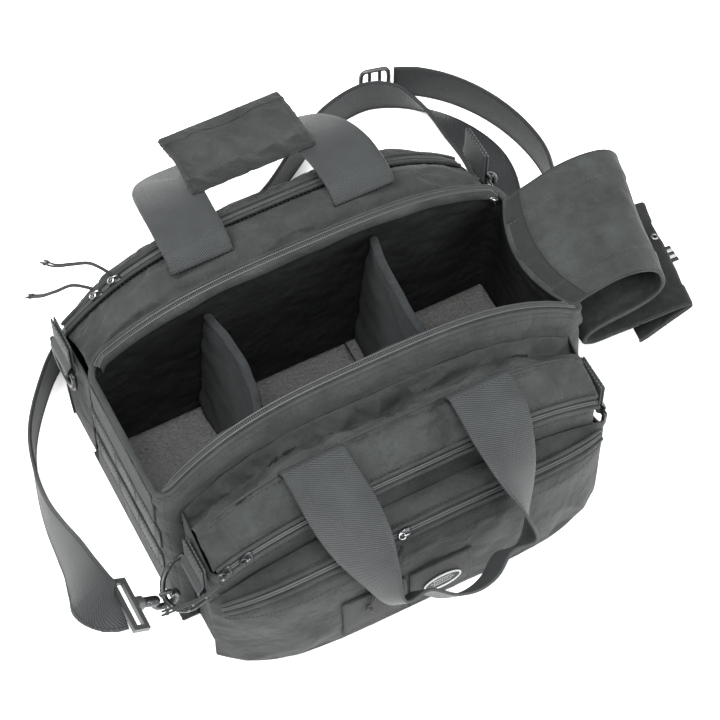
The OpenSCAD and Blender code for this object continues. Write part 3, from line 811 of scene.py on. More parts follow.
def plan(kind, n_side, n_corner, n_end):
    """Stretch of the rounded plan outline, as rows (c, d, a, b): x = c(L-R) + dR and y = a(W-R) + bR"""
    out = []
    if kind in ("front", "back"):
        s = -1 if kind == "front" else 1
        half = math.pi / 4
        corner = [half * (1 - k / n_corner) for k in range(n_corner)]
        out += [(-1, -math.sin(q), s, s * math.cos(q)) for q in corner]
        out += [(c, 0, s, s) for c in np.linspace(-1, 1, n_side)]
        corner = [half * k / n_corner for k in range(1, n_corner + 1)]
        out += [(1, math.sin(q), s, s * math.cos(q)) for q in corner]
    else:
        e = -1 if kind == "left" else 1
        out += [(e, e * math.sin(q), -1, -math.cos(q))
                for q in [math.pi / 4 * (1 + k / n_corner) for k in range(n_corner)]]
        out += [(e, e, a, 0) for a in np.linspace(-1, 1, n_end)]
        out += [(e, e * math.sin(q), 1, math.cos(q))
                for q in [math.pi / 2 * (1 - 0.5 * k / n_corner) for k in range(1, n_corner + 1)]]
    return np.array(out)


def shell_point(stretch, z):
    """Outer surface of the main compartment at height z, for each sample of a plan stretch"""
    c, d, a, b = stretch.T
    w = wall_y(z)
    x = c * (HALF_L - CORNER_R) + d * CORNER_R
    y = a * (w - CORNER_R) + b * CORNER_R
    return x, y


def shell_grid(kind, rows=34, n_side=116, n_corner=7, n_end=34):
    stretch = plan(kind, n_side, n_corner, n_end)
    x0, _ = shell_point(stretch, 0)
    top = rim_z(x0)
    v = np.linspace(0, 1, rows)[:, None]
    z = lerp(BASE_T + 0.2, top[None, :], v)
    x, y = shell_point(stretch, z)
    return np.stack([x + 0 * z, y, z], -1)


def flip(grid):
    return grid[:, ::-1]


def end_sag(y):
    """How far the rolled lid pulls the right end's rim inward"""
    return 17 * np.clip(1 - (y / 56) ** 2, 0, 1)


def main_wall(kind, node):
    grid = shell_grid(kind)
    if kind in ("back", "left"):
        grid = flip(grid)
    rows, cols = grid.shape[:2]
    u = grid[..., 0] + grid[..., 1]
    v = np.linspace(0, 1, rows)[:, None]
    soft = 0.9 * crumple(u, grid[..., 2], 90, 3 + len(kind)) * edge_fade(grid, 6)
    if kind == "right":
        sag = end_sag(grid[..., 1]) * v ** 3
        grid = grid + vec(-1, 0, -0.25) * sag[..., None]
    puff = 2.6 if kind in ("front", "back") else 0.9
    band = puff * bump(v, 0.93, 0.09) * (1 + 0.3 * crumple(u, 0 * u, 55, 8))
    if kind == "front":
        folds = creases(u * 1.5, grid[..., 2] * 0.55, 42, 31) * bump(v, 0.8, 0.13)
        soft = soft + 2.6 * folds * edge_fade(grid, 12)
    grid = push(grid, soft * (1 - v ** 4) + band - 2.2 * bump(v, 0.865, 0.03))
    piece = Piece(node)
    piece.sheet(grid, WALL_T, "nylon", "lining", "nylon")
    normal = grid_normals(grid)
    # seam a little way under the rim, and a folded lip along the rim itself
    row_h = (grid[-1, cols // 2, 2] - grid[0, cols // 2, 2]) / (rows - 1)
    r = rows - 1 - SEAM_DROP / row_h
    low, part = int(r), r - int(r)
    seam = grid[low] * (1 - part) + grid[low + 1] * part
    piece.stitches(seam[2:-2], normal[low, 2:-2])
    lip = grid[-1] - normal[-1] * 0.8 + vec(0, 0, 0.4)
    piece.tube(lip, 2.0, "nylon", sides=10, flatten=0.8)
    piece.build()


for wall_kind, wall_node in (("front", "main_front_panel"), ("back", "main_back_panel"),
                             ("left", "left_end_panel"), ("right", "right_end_panel")):
    main_wall(wall_kind, wall_node)


def rim_zip(node, side):
    """Open half of the lid's zip along one rim: tape with a ribbed coil, and a loose wavy lip inside"""
    stretch = plan("front" if side < 0 else "back", 150, 8, 2)
    x, _ = shell_point(stretch, 0)
    z = rim_z(x)
    _, y = shell_point(stretch, z)
    outward = unit(np.stack([stretch[:, 1], stretch[:, 3], 0 * x], 1))
    line = np.stack([x, y, z], 1)
    inset = vec(1.2, 3.2, 5.4, 7.4, 8.8, 9.6, 9.9)
    height = vec(1.6, 2.5, 2.9, 2.5, 1.0, -1.8, -5.0)
    loose = vec(0, 0, 0, 0.2, 0.7, 1.2, 1.5)
    wave = crumple(x, 0 * x, 42, 21 + side)
    grid = (line[None] - outward[None] * (inset[:, None] + loose[:, None] * wave[None])[..., None]
            + vec(0, 0, 1) * (height[:, None] + 0.8 * loose[:, None] * wave[None])[..., None])
    if side > 0:
        grid = flip(grid)
    tops = [["tape"] * (grid.shape[1] - 1)] * 3 + [["nylon"] * (grid.shape[1] - 1)] * 3
    piece = Piece(node)
    piece.sheet(grid, 0.9, sum(tops, []), "nylon")
    coil, way = resample(line - outward * 5.0 + vec(0, 0, 3.1), 1.6, outward)
    piece.beads(coil, way, vec(0, 0, 1), 4.4, 1.15, 1.6, "coil")
    for offset in (2.9, 7.0):
        piece.tube(line - outward * offset + vec(0, 0, 2.7), 0.8, "coil", sides=6)
    seam = line - outward * 1.3 + vec(0, 0, 2.3)
    piece.stitches(seam[3:-3], vec(0, 0, 1))
    piece.build()


rim_zip("rim_zip_front", -1)
rim_zip("rim_zip_back", 1)


def left_loop_strip():
    """Loop tape along the top of the left end, with two webbing rows sewn below it"""
    low, high = box_mm("left_loop_strip")
    x = low[0] + 0.2
    piece = Piece("left_loop_strip")

    def strip(z0, z1, half, thick, paint, seed):
        ys = np.linspace(half, -half, 46)
        zs = np.linspace(z0, z1, 10)
        grid = surface(ys, zs, lambda y, z: (x - 0.35 * crumple(y, z, 34, seed), y, z))
        piece.sheet(grid, thick, paint)
        for z in (z0 + 1.8, z1 - 1.8):
            line = np.stack([np.full(46, x - 0.25), ys, np.full(46, z)], 1)
            piece.stitches(line, vec(-1, 0, 0), "thread_pale" if paint == "loop" else "thread")

    strip(low[2], high[2], high[1], 1.6, "loop", 5)
    for z in (low[2] - 33, low[2] - 70):
        strip(z, z + 25, 60, 1.6, "webbing_dark", int(z))
        for y in np.linspace(-54, 54, 4):
            tack = np.stack([np.full(6, x - 0.4), np.full(6, y), np.linspace(z + 3, z + 22, 6)], 1)
            piece.stitches(tack, vec(-1, 0, 0), "thread_pale", pitch=1.6, length=1.7)
    piece.build()


left_loop_strip()


def base_panel():
    xs = np.linspace(-HALF_L + 1, HALF_L - 1, 90)
    ys = np.linspace(-FLOOR_W + 1, FLOOR_W - 1, 44)
    grid = surface(xs, ys, lambda x, y: (x, y, BASE_T - 0.3 + 0 * x))
    piece = Piece("base_panel")
    piece.sheet(grid, BASE_T - 0.4, "nylon", "nylon")
    corners = [vec(a * (HALF_L - 1), b * (FLOOR_W - 1), 1.7)
               for a, b in ((-1, -1), (1, -1), (1, 1), (-1, 1), (-1, -1))]
    line = np.concatenate([np.linspace(a, b, 40) for a, b in zip(corners[:-1], corners[1:])])
    piece.tube(line, 1.6, "webbing_dark", sides=8)
    piece.build()


base_panel()


def floor_pad(node, seed):
    low, high = box_mm(node)
    xs = np.linspace(low[0] + 1, high[0] - 1, 44)
    ys = np.linspace(low[1] + 1, high[1] - 1, 60)
    grid = surface(xs, ys, lambda x, y: (x, y, high[2] + (0.5 * crumple(x, y, 70, seed) - 0.5)))
    grid[..., 2] -= 1.6 * (1 - edge_fade(grid, 2.2))
    piece = Piece(node)
    piece.sheet(grid, high[2] - low[2] - 2.6, "pad", "felt")
    piece.build()


for pad_seed, pad_node in enumerate(("floor_pad_left", "floor_pad_middle", "floor_pad_right")):
    floor_pad(pad_node, 30 + pad_seed)


def divider(node, bow, lean, seed):
    """Foam divider in brushed lining: bowed between the walls, its top edge bound"""
    low, high = box_mm(node)
    x = (low[0] + high[0]) / 2
    top = high[2]
    inset = WALL_T + 4.8
    ys = np.linspace(-1, 1, 54)
    thick = high[0] - low[0] - 1.2

    def shape(t, v):
        crown = 1 - 0.05 * (np.abs(t) ** 3)
        z = lerp(PAD_TOP + thick / 2 + 0.4, top * crown + 3 * (1 - t ** 2) - 3, v)
        y = t * (wall_y(z) - inset)
        bend = bow * (1 - t ** 2) * (0.25 + 0.75 * v) + lean * t * v
        return x + bend + 1.5 * crumple(y, z, 44, seed), y, z

    vs = np.linspace(0, 1, 60)
    grid = surface(ys, vs, shape)
    piece = Piece(node)
    shifted = grid + vec(thick / 2, 0, 0)
    taper = thick * (1 - 0.35 * np.clip(vs - 0.94, 0, 1)[:, None] / 0.06) * np.ones((1, 54))
    piece.sheet(flip(shifted) if grid_normals(shifted)[30, 27, 0] < 0 else shifted, taper, "felt")
    piece.tube(grid[-1] + vec(0, 0, 0.4), 3.4, "felt", sides=10, flatten=0.62, up=vec(0, 0, 1))
    for face in (-1, 1):
        seam = grid[-4] + vec(face * (thick / 2 + 0.1), 0, 0)
        piece.stitches(seam[2:-2], vec(face, 0, 0))
    piece.build(body=node)


divider("divider_left", 7, 3, 41)
divider("divider_right", -6, 4, 42)


# ---- Front pocket ----

def front_body():
    """Sides, bottom and face of the front pocket: one wall round its three open sides"""
    radius = 13
    half = FRONT_HALF - 0.5
    turn_y = -(FRONT_Y - radius)
    left = [(-half, y) for y in np.linspace(-58, turn_y, 18)[:-1]]
    left += [(-half + radius * (1 - math.cos(q)), turn_y - radius * math.sin(q))
             for q in np.linspace(0, math.pi / 2, 9)[:-1]]
    middle = [(x, -FRONT_Y) for x in np.linspace(-half + radius, half - radius, 110)]
    right = [(-x, y) for x, y in reversed(left)]
    x, y = np.array(left + middle + right).T
    depth = np.clip((-y - 66) / (FRONT_Y - 66), 0, 1)
    top = lerp(rim_z(FRONT_ZIP_HALF) - 30, front_z(x) - 6, depth)
    top = np.where(np.abs(x) < half - 0.5, front_z(x) - 7, top)
    v = np.linspace(0, 1, 34)[:, None]
    z = lerp(0.4, top[None], v)
    outward = np.maximum(2.4 * np.sin(math.pi * v) * bump(x / half, 0, 1.1)[None], 0)
    grid = np.stack([x[None] + 0 * z, y[None] - outward, z], -1)
    inner = wall_y(z) + 0.8
    grid[..., 1] = np.minimum(grid[..., 1], -inner)
    soft = 1.2 * crumple(grid[..., 0] - grid[..., 1], grid[..., 2], 62, 51) * edge_fade(grid, 5)
    return push(grid, soft)


def front_pocket_face():
    grid = front_body()
    grid = settle(grid, edge_fade(grid, 1) < 0.5, grow=0.012, cap=3.0)
    piece = Piece("front_pocket_face")
    piece.sheet(grid, CLOTH_T, "nylon", "lining")
    piece.build(replaces=["front_pocket_face", "front_pocket_gusset"])


front_pocket_face()


def front_pocket_roof():
    """Roof of the front pocket: a sunken fold beside the wall, then a crisp crease and a flat panel"""
    vs = np.linspace(0, 1, 42)

    def shape(x, v):
        z_back = rim_z(x) - 27
        z = lerp(z_back, front_z(x) + 3.2, v)
        y = lerp(-(wall_y(z_back) + 1.0), -FRONT_Y + 3.0, v)
        deep = 0.75 + 0.25 * np.cos(x / 31.0) * np.cos(x / 83.0)
        valley = 21.0 * deep * bump(v, 0.14, 0.2)
        crest = 3.6 * bump(v, 0.43, 0.09)
        crown = 2.4 * bump(v, 0.72, 0.3)
        return x, y, z - valley + crest + crown
    grid = flip(surface(np.linspace(-161, 161, 122), vs, shape))
    rows, cols = grid.shape[:2]
    along = np.arange(cols)
    fade = edge_fade(grid, 4) * np.clip(np.minimum(along, cols - 1 - along) / 22, 0, 1)[None]
    folds = creases(grid[..., 0] * 0.6, grid[..., 1] * 2.2, 46, 61) * fade
    waves = crumple(grid[..., 0], grid[..., 1] * 0.6, 38, 62) * fade
    grid = push(grid, (1.7 * folds + 2.3 * waves) * (0.3 + 1.1 * bump(vs[:, None], 0.2, 0.26)))
    crease = int(rows * 0.43)
    pinned = edge_fade(grid, 1) < 0.5
    pinned[crease] = True
    grid = settle(grid, pinned, grow=0.03, cap=4.0)
    piece = Piece("front_pocket_roof")
    piece.sheet(grid, CLOTH_T, "nylon", "lining")
    up = grid_normals(grid)
    piece.tube(grid[crease, 3:-3] + up[crease, 3:-3] * 0.1, 1.1, "nylon", sides=8)
    piece.stitches(grid[crease + 2, 3:-3], up[crease + 2, 3:-3])
    piece.build()


front_pocket_roof()


def front_pocket_zip():
    xs = np.linspace(-158, 158, 110)
    line = np.stack([xs, -FRONT_Y - 0.4 + 0 * xs, front_z(xs) - 0.8], 1)
    zip_run("front_pocket_zip", line, *FRONT_TILT)


front_pocket_zip()


def outer_y(x, part):
    return -FRONT_Y - 0.6 - OUTER_DEPTH * part * (1 - (np.abs(x) / 169) ** 5)


# Section of the outer pocket from its top seam to its bottom:
# share of the depth, height over its upper edge, share of the way down
OUTER_SECTION = np.array([
    [0.0, 17.0, 0.0], [0.12, 16.5, 0.0], [0.35, 14.0, 0.0], [0.62, 9.0, 0.0], [0.82, 2.5, 0.0],
    [0.93, 0.0, 0.08], [1.0, 0.0, 0.25], [1.05, 0.0, 0.45], [1.06, 0.0, 0.65], [1.0, 0.0, 0.85],
    [0.9, 0.0, 0.99],
])


def off_patches(x, z):
    """0 under the loop patches, rising to 1 a little way beyond their edges"""
    low, high = box_mm("loop_patches")
    away = np.maximum(np.maximum(low[0] - x, x - high[0]), np.maximum(low[2] - z, z - high[2]))
    return np.clip(away / 14, 0, 1)


def outer_pocket_face():
    vs = np.linspace(0, 1, 56)

    def shape(x, v):
        at = np.linspace(0, 1, len(OUTER_SECTION))
        part, over, drop = (np.interp(v, at, column) for column in OUTER_SECTION.T)
        y = outer_y(x, part) - 1.8 * (1 - (np.abs(x) / OUTER_ZIP_HALF) ** 8)
        return x, y, outer_z(x) + over - (outer_z(x) - 0.8) * drop
    grid = flip(surface(np.linspace(-167.5, 167.5, 124), vs, shape))
    rows = len(grid)
    fade = edge_fade(grid, 5)
    low = np.clip((vs[:, None] - 0.45) / 0.2, 0, 1)
    soft = (crumple(grid[..., 0], grid[..., 2], 70, 71) * 1.8
            + creases(grid[..., 0], grid[..., 2] * 0.7, 80, 72) * 1.8)
    free = off_patches(grid[..., 0], grid[..., 2])
    grid = push(grid, soft * fade * low * free)
    pinned = (edge_fade(grid, 1) < 0.5) | (free == 0)
    pinned[:int(rows * 0.42)] = True
    grid = settle(grid, pinned, grow=0.008, cap=1.5)
    grid[..., 2] = np.maximum(grid[..., 2], 0.4)
    grid[..., 1] = np.minimum(grid[..., 1], -FRONT_Y - 0.4)
    piece = Piece("outer_pocket_face")
    piece.sheet(grid, 1.5, "nylon", "lining")
    up = grid_normals(grid)
    seam = int(rows * 0.47)
    piece.stitches(grid[seam, 3:-3], up[seam, 3:-3])
    # bottom of the pocket
    bottom = surface(np.linspace(-160, 160, 60), np.linspace(0, 1, 8),
                     lambda x, t: (x, lerp(outer_y(x, 0.86), -FRONT_Y - 1, t), 1.8 + 0 * x))
    piece.sheet(bottom, 1.4, "lining", "nylon")
    piece.build()


outer_pocket_face()


def outer_pocket_zip():
    xs = np.linspace(-161, 161, 120)
    line = np.stack([xs, outer_y(xs, 0.6) - 2.6, outer_z(xs) + 10.6], 1)
    slope = (outer_y(xs, 0.82) - outer_y(xs, 0.4)) / -16
    across = unit(np.stack([0 * xs, -np.maximum(slope, 0.25), -0.75 + 0 * xs], 1))
    up = unit(np.stack([0 * xs, across[:, 2], -across[:, 1]], 1))
    zip_run("outer_pocket_zip", line, across, up, gap=4.6)


outer_pocket_zip()


def on_outer_face(x, z):
    """y of the outer pocket's face at a place on it"""
    drop = np.clip((outer_z(x) - z) / (outer_z(x) - 0.8), 0, 1)
    part = np.interp(drop, OUTER_SECTION[4:, 2], OUTER_SECTION[4:, 0])
    return outer_y(x, part) - 1.8


PATCH_W = 52


def loop_patches():
    piece = Piece("loop_patches")
    low, high = box_mm("loop_patches")
    for x0 in (low[0], high[0] - PATCH_W):
        xs = np.linspace(x0, x0 + PATCH_W, 30)
        zs = np.linspace(low[2], high[2], 26)
        grid = surface(xs, zs, lambda x, z: (x, on_outer_face(x, z) - 2.6, z))
        grid = push(grid, 0.3 * crumple(grid[..., 0], grid[..., 2], 26, 81))
        piece.sheet(grid, 1.6, "loop")
        up = grid_normals(grid)
        for side in (np.s_[1], np.s_[-2], np.s_[:, 1], np.s_[:, -2]):
            piece.stitches(grid[side], up[side], "thread_pale", lift=0.25)
    piece.build()


loop_patches()


def badge():
    """Plain oval badge: woven ground, pale sewn border, three plain bars"""
    piece = Piece("badge")
    low, high = box_mm("badge")
    cx, _, cz = (low + high) / 2
    rx, _, rz = (high - low) / 2

    def at(x, z):
        return np.stack([x, on_outer_face(x, z) - 4.4, z], -1)
    r = np.linspace(0.04, 1, 10)
    a = np.linspace(0, math.tau, 49)[:-1]
    disc = surface(a, r, lambda t, q: (cx + rx * q * np.cos(t), 0 * t, cz + rz * q * np.sin(t)))
    disc = at(disc[..., 0], disc[..., 2])
    if grid_normals(disc, True)[5, 0, 1] > 0:
        disc = flip(disc)
    piece.sheet(disc, 1.2, "webbing_dark", loop=True)
    a = np.linspace(0, math.tau, 73)
    ring = at(cx + rx * 0.97 * np.cos(a), cz + rz * 0.97 * np.sin(a)) - vec(0, 0.2, 0)
    piece.tube(ring, 0.8, "embroidery", sides=6)
    for k, half in ((-1, 7), (0, 9), (1, 7)):
        xs = np.linspace(cx - half, cx + half, 9)
        bar = at(xs, cz + 3.2 * k + 0 * xs)
        piece.beads(bar, vec(0.35, 0, 1), vec(0, -1, 0), 2.0, 1.5, 0.8, "embroidery")
    piece.build()


badge()


# ---- Back pocket ----

# Section of the back pocket from its zip to the floor: distance behind the zip, share of the way down
BACK_SECTION = np.array([
    [8, 0.0], [15, 0.05], [20.5, 0.13], [22, 0.3], [22, 0.55], [21, 0.75], [19, 0.9], [17, 0.995],
])


def back_pocket_face():
    def shape(x, v):
        at = np.linspace(0, 1, len(BACK_SECTION))
        behind, drop = (np.interp(v, at, column) for column in BACK_SECTION.T)
        return x, BACK_ZIP_Y + behind - 14 * np.abs(x / 178) ** 7, lerp(back_z(x), 0.4, drop)
    grid = flip(surface(np.linspace(BACK_ZIP_HALF, -BACK_ZIP_HALF, 124), np.linspace(0, 1, 54), shape))
    fade = edge_fade(grid, 5)
    grid = push(grid, fade * (1.4 * crumple(grid[..., 0], grid[..., 2], 80, 91)
                              + 0.8 * creases(grid[..., 0], grid[..., 2], 90, 92)))
    grid = settle(grid, edge_fade(grid, 1) < 0.5, grow=0.025, cap=5.0)
    grid[..., 2] = np.maximum(grid[..., 2], 0.4)
    piece = Piece("back_pocket_face")
    piece.sheet(grid, 1.6, "nylon", "lining")
    piece.build()


back_pocket_face()


def back_pocket_gusset():
    """Two ends and the bottom of the back pocket"""
    piece = Piece("back_pocket_gusset")
    for side in (-1, 1):
        def shape(t, v):
            z = lerp(0.6, back_z(172) - 2 + 4 * (1 - t), v)
            y_in = wall_y(z) + 0.8
            y_out = BACK_ZIP_Y + 10 - 16 * np.clip(v - 0.82, 0, 1) / 0.18
            x = BACK_HALF - 0.6 + 1.2 * bump(t, 0.5, 0.6) * bump(v, 0.5, 0.6)
            return side * x, lerp(y_in, y_out, t), z
        ts = np.linspace(0, 1, 22) if side > 0 else np.linspace(1, 0, 22)
        grid = surface(ts, np.linspace(0, 1, 36), shape)
        grid = push(grid, 0.6 * crumple(grid[..., 1], grid[..., 2], 46, 95 + side) * edge_fade(grid, 4))
        piece.sheet(grid, CLOTH_T, "nylon", "lining")
    bottom = surface(np.linspace(-BACK_HALF + 3, BACK_HALF - 3, 60),
                     np.linspace(FLOOR_W + 1, BACK_ZIP_Y + 9, 8),
                     lambda x, y: (x, y, BASE_T - 0.6 + 0 * x))
    piece.sheet(bottom, 1.8, "lining", "nylon")
    piece.build()


back_pocket_gusset()


def back_pocket_roof():
    def shape(x, v):
        z_front = rim_z(x) - 15
        y = lerp(wall_y(z_front) + 1.0, BACK_ZIP_Y - 6, v)
        z = lerp(z_front, back_z(x) - 0.6, v)
        return x, y, z - 4.5 * bump(v, 0.12, 0.16) + 5.0 * bump(v, 0.55, 0.5)
    grid = surface(np.linspace(-172, 172, 122), np.linspace(0, 1, 38), shape)
    fade = edge_fade(grid, 4)
    grid = push(grid, 0.9 * fade * creases(grid[..., 0] * 0.5, grid[..., 1] * 1.6, 50, 97))
    grid = settle(grid, edge_fade(grid, 1) < 0.5, grow=0.025, cap=4.0)
    piece = Piece("back_pocket_roof")
    piece.sheet(grid, CLOTH_T, "nylon", "lining")
    up = grid_normals(grid)
    piece.stitches(grid[4, 3:-3], up[4, 3:-3])
    piece.build()


back_pocket_roof()


def back_pocket_zip():
    xs = np.linspace(-171, 171, 120)
    line = np.stack([xs, BACK_ZIP_Y + 1.5 + 0 * xs, back_z(xs) - 0.9], 1)
    zip_run("back_pocket_zip", line, *BACK_TILT, width=12, gap=5.2, lip_r=1.7)


back_pocket_zip()


# ---- Tabs round the rings' bars ----

# Each ring's bar: side of the bag, y, z, and how far out the pocket's end stands
RING_BARS = [(-1, -98, 92, FRONT_HALF), (1, -98, 92, FRONT_HALF),
             (-1, 108, 112, BACK_HALF), (1, 108, 132, BACK_HALF)]
BAR_OUT = 5.4
TAB_W = 31
TAB_R = 3.4


def ring_tabs():
    """Webbing folded round each ring's bar and sewn down above it"""
    piece = Piece("ring_tabs")
    for side, y, z, face in RING_BARS:
        bar_x = face + BAR_OUT
        back = [(face + 2.2, z + 34 - 4 * k) for k in range(8)]
        loop = [(bar_x - TAB_R * math.cos(t), z - TAB_R * math.sin(t))
                for t in np.linspace(0.15, math.pi - 0.2, 12)]
        front = [(face + 4.6, z + 33 - 4 * k) for k in range(7)][::-1]
        line = np.array([(side * x, y, h) for x, h in [*back, *loop, (bar_x + 2.6, z + 3.5), *front]])
        line, = resample(line, 2.0)
        piece.ribbon(line, vec(0, 1, 0), TAB_W, CLOTH_T, "webbing")
        for dz in (10, 28):
            bar = vec(side * (face + 5.6), y, z + dz) + np.linspace(-12, 12, 9)[:, None] * vec(0, 1, 0)
            piece.stitches(bar, vec(side, 0, 0), "thread_pale", pitch=2.0, length=1.9)
    piece.build()


ring_tabs()


# ---- Carry handles ----

HANDLE_W = 50
LEG_X = 68
GRIP_X = 54
GRIP_HALF = 34


def joint_mm(name):
    return np.array([j for j in frame["joints"] if j["name"] == name][0]["pos_m"]) / MM


def carry_handle(name, out, profile, hang, twist_at, grip_drop, edge_dir, aside=0, bulge=3):
    """Handle of one webbing: two legs and a grip where the webbing turns on edge.
    out is the direction away from the bag along Y; profile is the leg's (distance, drop) from its pivot,
    twist_at the webbing's turn at each of its points, and hang the leg's sewn end."""
    pivot = joint_mm(f"{name}_swing")
    for side, label in ((-1, "left"), (1, "right")):
        root = Piece(f"{name}_root_{label}")
        path = [(side * LEG_X, pivot[1] + out * d, pivot[2] + h) for d, h in hang]
        line, = resample(smooth_route(path, 8), 2.5)
        root.ribbon(line, vec(1, 0, 0), HANDLE_W, WEB_T, "webbing", across=15)
        root.build(between=("bag", name, line[0], line[-1]), replaces=())
    share = np.linspace(0, 1, len(profile))
    left, right = (np.array([
        (side * lerp(LEG_X, GRIP_X, t * t) + aside * t * t, pivot[1] + out * d, pivot[2] + h)
        for t, (d, h) in zip(share, profile)]) for side in (-1, 1))
    tip = (left[-1] + right[-1]) / 2
    grip = [(s * GRIP_HALF + aside, tip[1] + out * bulge * (1 - s * s), tip[2] + grip_drop * (1 - s * s))
            for s in (-1, -0.5, 0, 0.5, 1)]
    route = np.concatenate([left, grip, right[::-1]])
    # direction of the width: along X on the legs, and turned on edge across the grip
    turn = np.radians(twist_at)[:, None]
    flat, edge = np.cos(turn) * vec(1, 0, 0), np.sin(turn) * unit(edge_dir)
    w = np.concatenate([flat + edge, np.tile(unit(edge_dir), (len(grip), 1)), (edge - flat)[::-1]])
    c = smooth_route(np.concatenate([route, w], 1), 10)
    line, wide = resample(c[:, :3], 2.5, c[:, 3:])
    piece = Piece(name)
    piece.ribbon(line, wide, HANDLE_W, WEB_T, "webbing", across=15)
    piece.build(body=name)


carry_handle("front_handle", -1, [(6, 3), (30, -1), (61, -19), (86, -46), (98, -75)],
             [(-3, -9), (-1.5, -3), (1, 0.5), (6, 3)], [0, 4, 32, 68, 90], -8, vec(0, -0.45, 0.89), 6, 13)
carry_handle("back_handle", 1, [(7, 4), (32, 3), (58, -6), (82, -22), (94, -34)],
             [(-8, -5), (-4, -1), (1, 2.4), (7, 4)], [0, 0, 8, 30, 70], -2, vec(0, -0.75, 0.65))


def handle_wrap():
    """Padded wrap lying open on the back handle's grip, hems sewn along its two long edges"""
    low, high = box_mm("handle_wrap")
    xs = np.linspace(low[0] + 1, high[0] - 1, 64)
    vs = np.linspace(0, 1, 46)
    base = high[2] - 1.5

    def shape(x, v):
        y = lerp(low[1] + 1, high[1] - 1, v)
        z = base - 10 * v + 5 * np.sin(math.pi * v) - 3.0
        return x, y, z
    grid = surface(xs, vs, shape)
    rows, cols = grid.shape[:2]
    fade = edge_fade(grid, 5)
    grid = push(grid, fade * 1.9 * creases(grid[..., 0] + 0.8 * grid[..., 1], grid[..., 1] * 0.5, 44, 103))
    pinned = edge_fade(grid, 1) < 0.5
    pinned[[9, -8]] = True
    grid = settle(grid, pinned, grow=0.015, cap=3.0)
    piece = Piece("handle_wrap")
    piece.sheet(grid, 3.4, "nylon", "lining")
    up = grid_normals(grid)
    for row in (9, rows - 8):
        piece.stitches(grid[row, 1:-1], up[row, 1:-1], "thread_pale", lift=0.15)
    for first, last in ((0, 9), (rows - 8, rows)):
        hem = grid[first:last] + up[first:last] * 0.9
        piece.sheet(hem, 1.0, "nylon" if first else "loop")
    for col in (2, cols - 3):
        piece.stitches(grid[:, col], up[:, col], "thread", lift=0.15)
    piece.build(body="handle_wrap")


handle_wrap()


# ---- Zip sliders ----

def slider_piece(node, body, centres, along, across, up, paint="bright"):
    """Slider: rounded wedge body, bridge and a wire ring for the pull"""
    piece = Piece(node)
    for centre, way in zip(centres, along):
        way, side, top = unit(vec(*way)), unit(vec(*across)), unit(vec(*up))
        rows = np.linspace(-5.5, 5.5, 12)
        cols = np.linspace(-1, 1, 9)
        half = np.interp(rows, [-5.5, -4, 1, 5.5], [1.6, 2.6, 4.0, 3.4])
        rise = 2.2 * np.sqrt(np.clip(1 - (rows / 6.0) ** 4, 0, 1))
        grid = np.stack([[centre + way * r + side * (c * h) + top * (q * (1 - 0.25 * c * c)) for c in cols]
                         for r, h, q in zip(rows, half, rise)])
        if np.dot(grid_normals(grid)[6, 4], top) < 0:
            grid = flip(grid)
        piece.sheet(grid, 2.0, "steel")
        t = np.linspace(0, math.pi, 13)
        bridge = centre + top * 1.8 + way * (3.4 * np.cos(t))[:, None] + top * (2.4 * np.sin(t))[:, None]
        piece.tube(bridge, 0.75, paint, sides=8)
        t = np.linspace(0, math.tau, 25)
        ring = (centre + top * 3.2 - way * 3 + way * (2.6 * np.cos(t))[:, None]
                + side * (2.0 * np.sin(t))[:, None])
        piece.tube(ring + top * (0.8 * np.sin(t))[:, None], 0.65, paint, sides=8)
    piece.build(body=body)


def slope_along(f, x):
    return vec(1, 0, (f(x + 2) - f(x - 2)) / 4)


def zip_sliders():
    for node in ("back_zip_slider_left", "back_zip_slider_right"):
        x = middle_mm(node)[0]
        slider_piece(node, node.replace("_zip", ""), [vec(x, BACK_ZIP_Y + 1.2, back_z(x) + 0.9)],
                     [slope_along(back_z, x)], *BACK_TILT)
    low, high = box_mm("front_zip_sliders")
    xs = (low[0] + 6, high[0] - 6)
    slider_piece("front_zip_sliders", "front_sliders",
                 [vec(x, -FRONT_Y - 2.0, front_z(x) - 0.2) for x in xs],
                 [slope_along(front_z, x) for x in xs],
                 *FRONT_TILT, "steel")
    x = middle_mm("outer_zip_slider")[0]
    slider_piece("outer_zip_slider", "outer_slider", [vec(x, outer_y(x, 0.6) - 4.4, outer_z(x) + 11.6)],
                 [slope_along(outer_z, x)], vec(0, -0.7, -0.7), vec(0, -0.7, 0.7))
    for node in ("lid_zip_slider_front", "lid_zip_slider_back"):
        at = middle_mm(node)
        side = 1 if at[1] > 0 else -1
        slider_piece(node, node.replace("_zip", ""), [at + vec(0, side * 1.0, 0)],
                     [slope_along(rim_z, at[0])], vec(0, 0.3, 1), vec(0, -side, 0.3))


zip_sliders()


# ---- Lid ----

LID_COUNT = 8
LID_HALF = box_mm("lid_panel_1")[1][1]
HEM = 19
PILE_BAND = 14


def lid_points():
    """Joints of the open lid in (x, z), from its hinge to its free end"""
    out = [joint_mm("lid_hinge")[[0, 2]]]
    for i in range(1, LID_COUNT):
        out.append(joint_mm(f"lid_fold_{i}")[[0, 2]])
    low, high = box_mm(f"lid_panel_{LID_COUNT}")
    before = out[-1]
    end = vec(max((low[0], high[0]), key=lambda x: abs(x - before[0])), low[2])
    out.append(before + (end - before) * 0.985)
    return np.array(out)


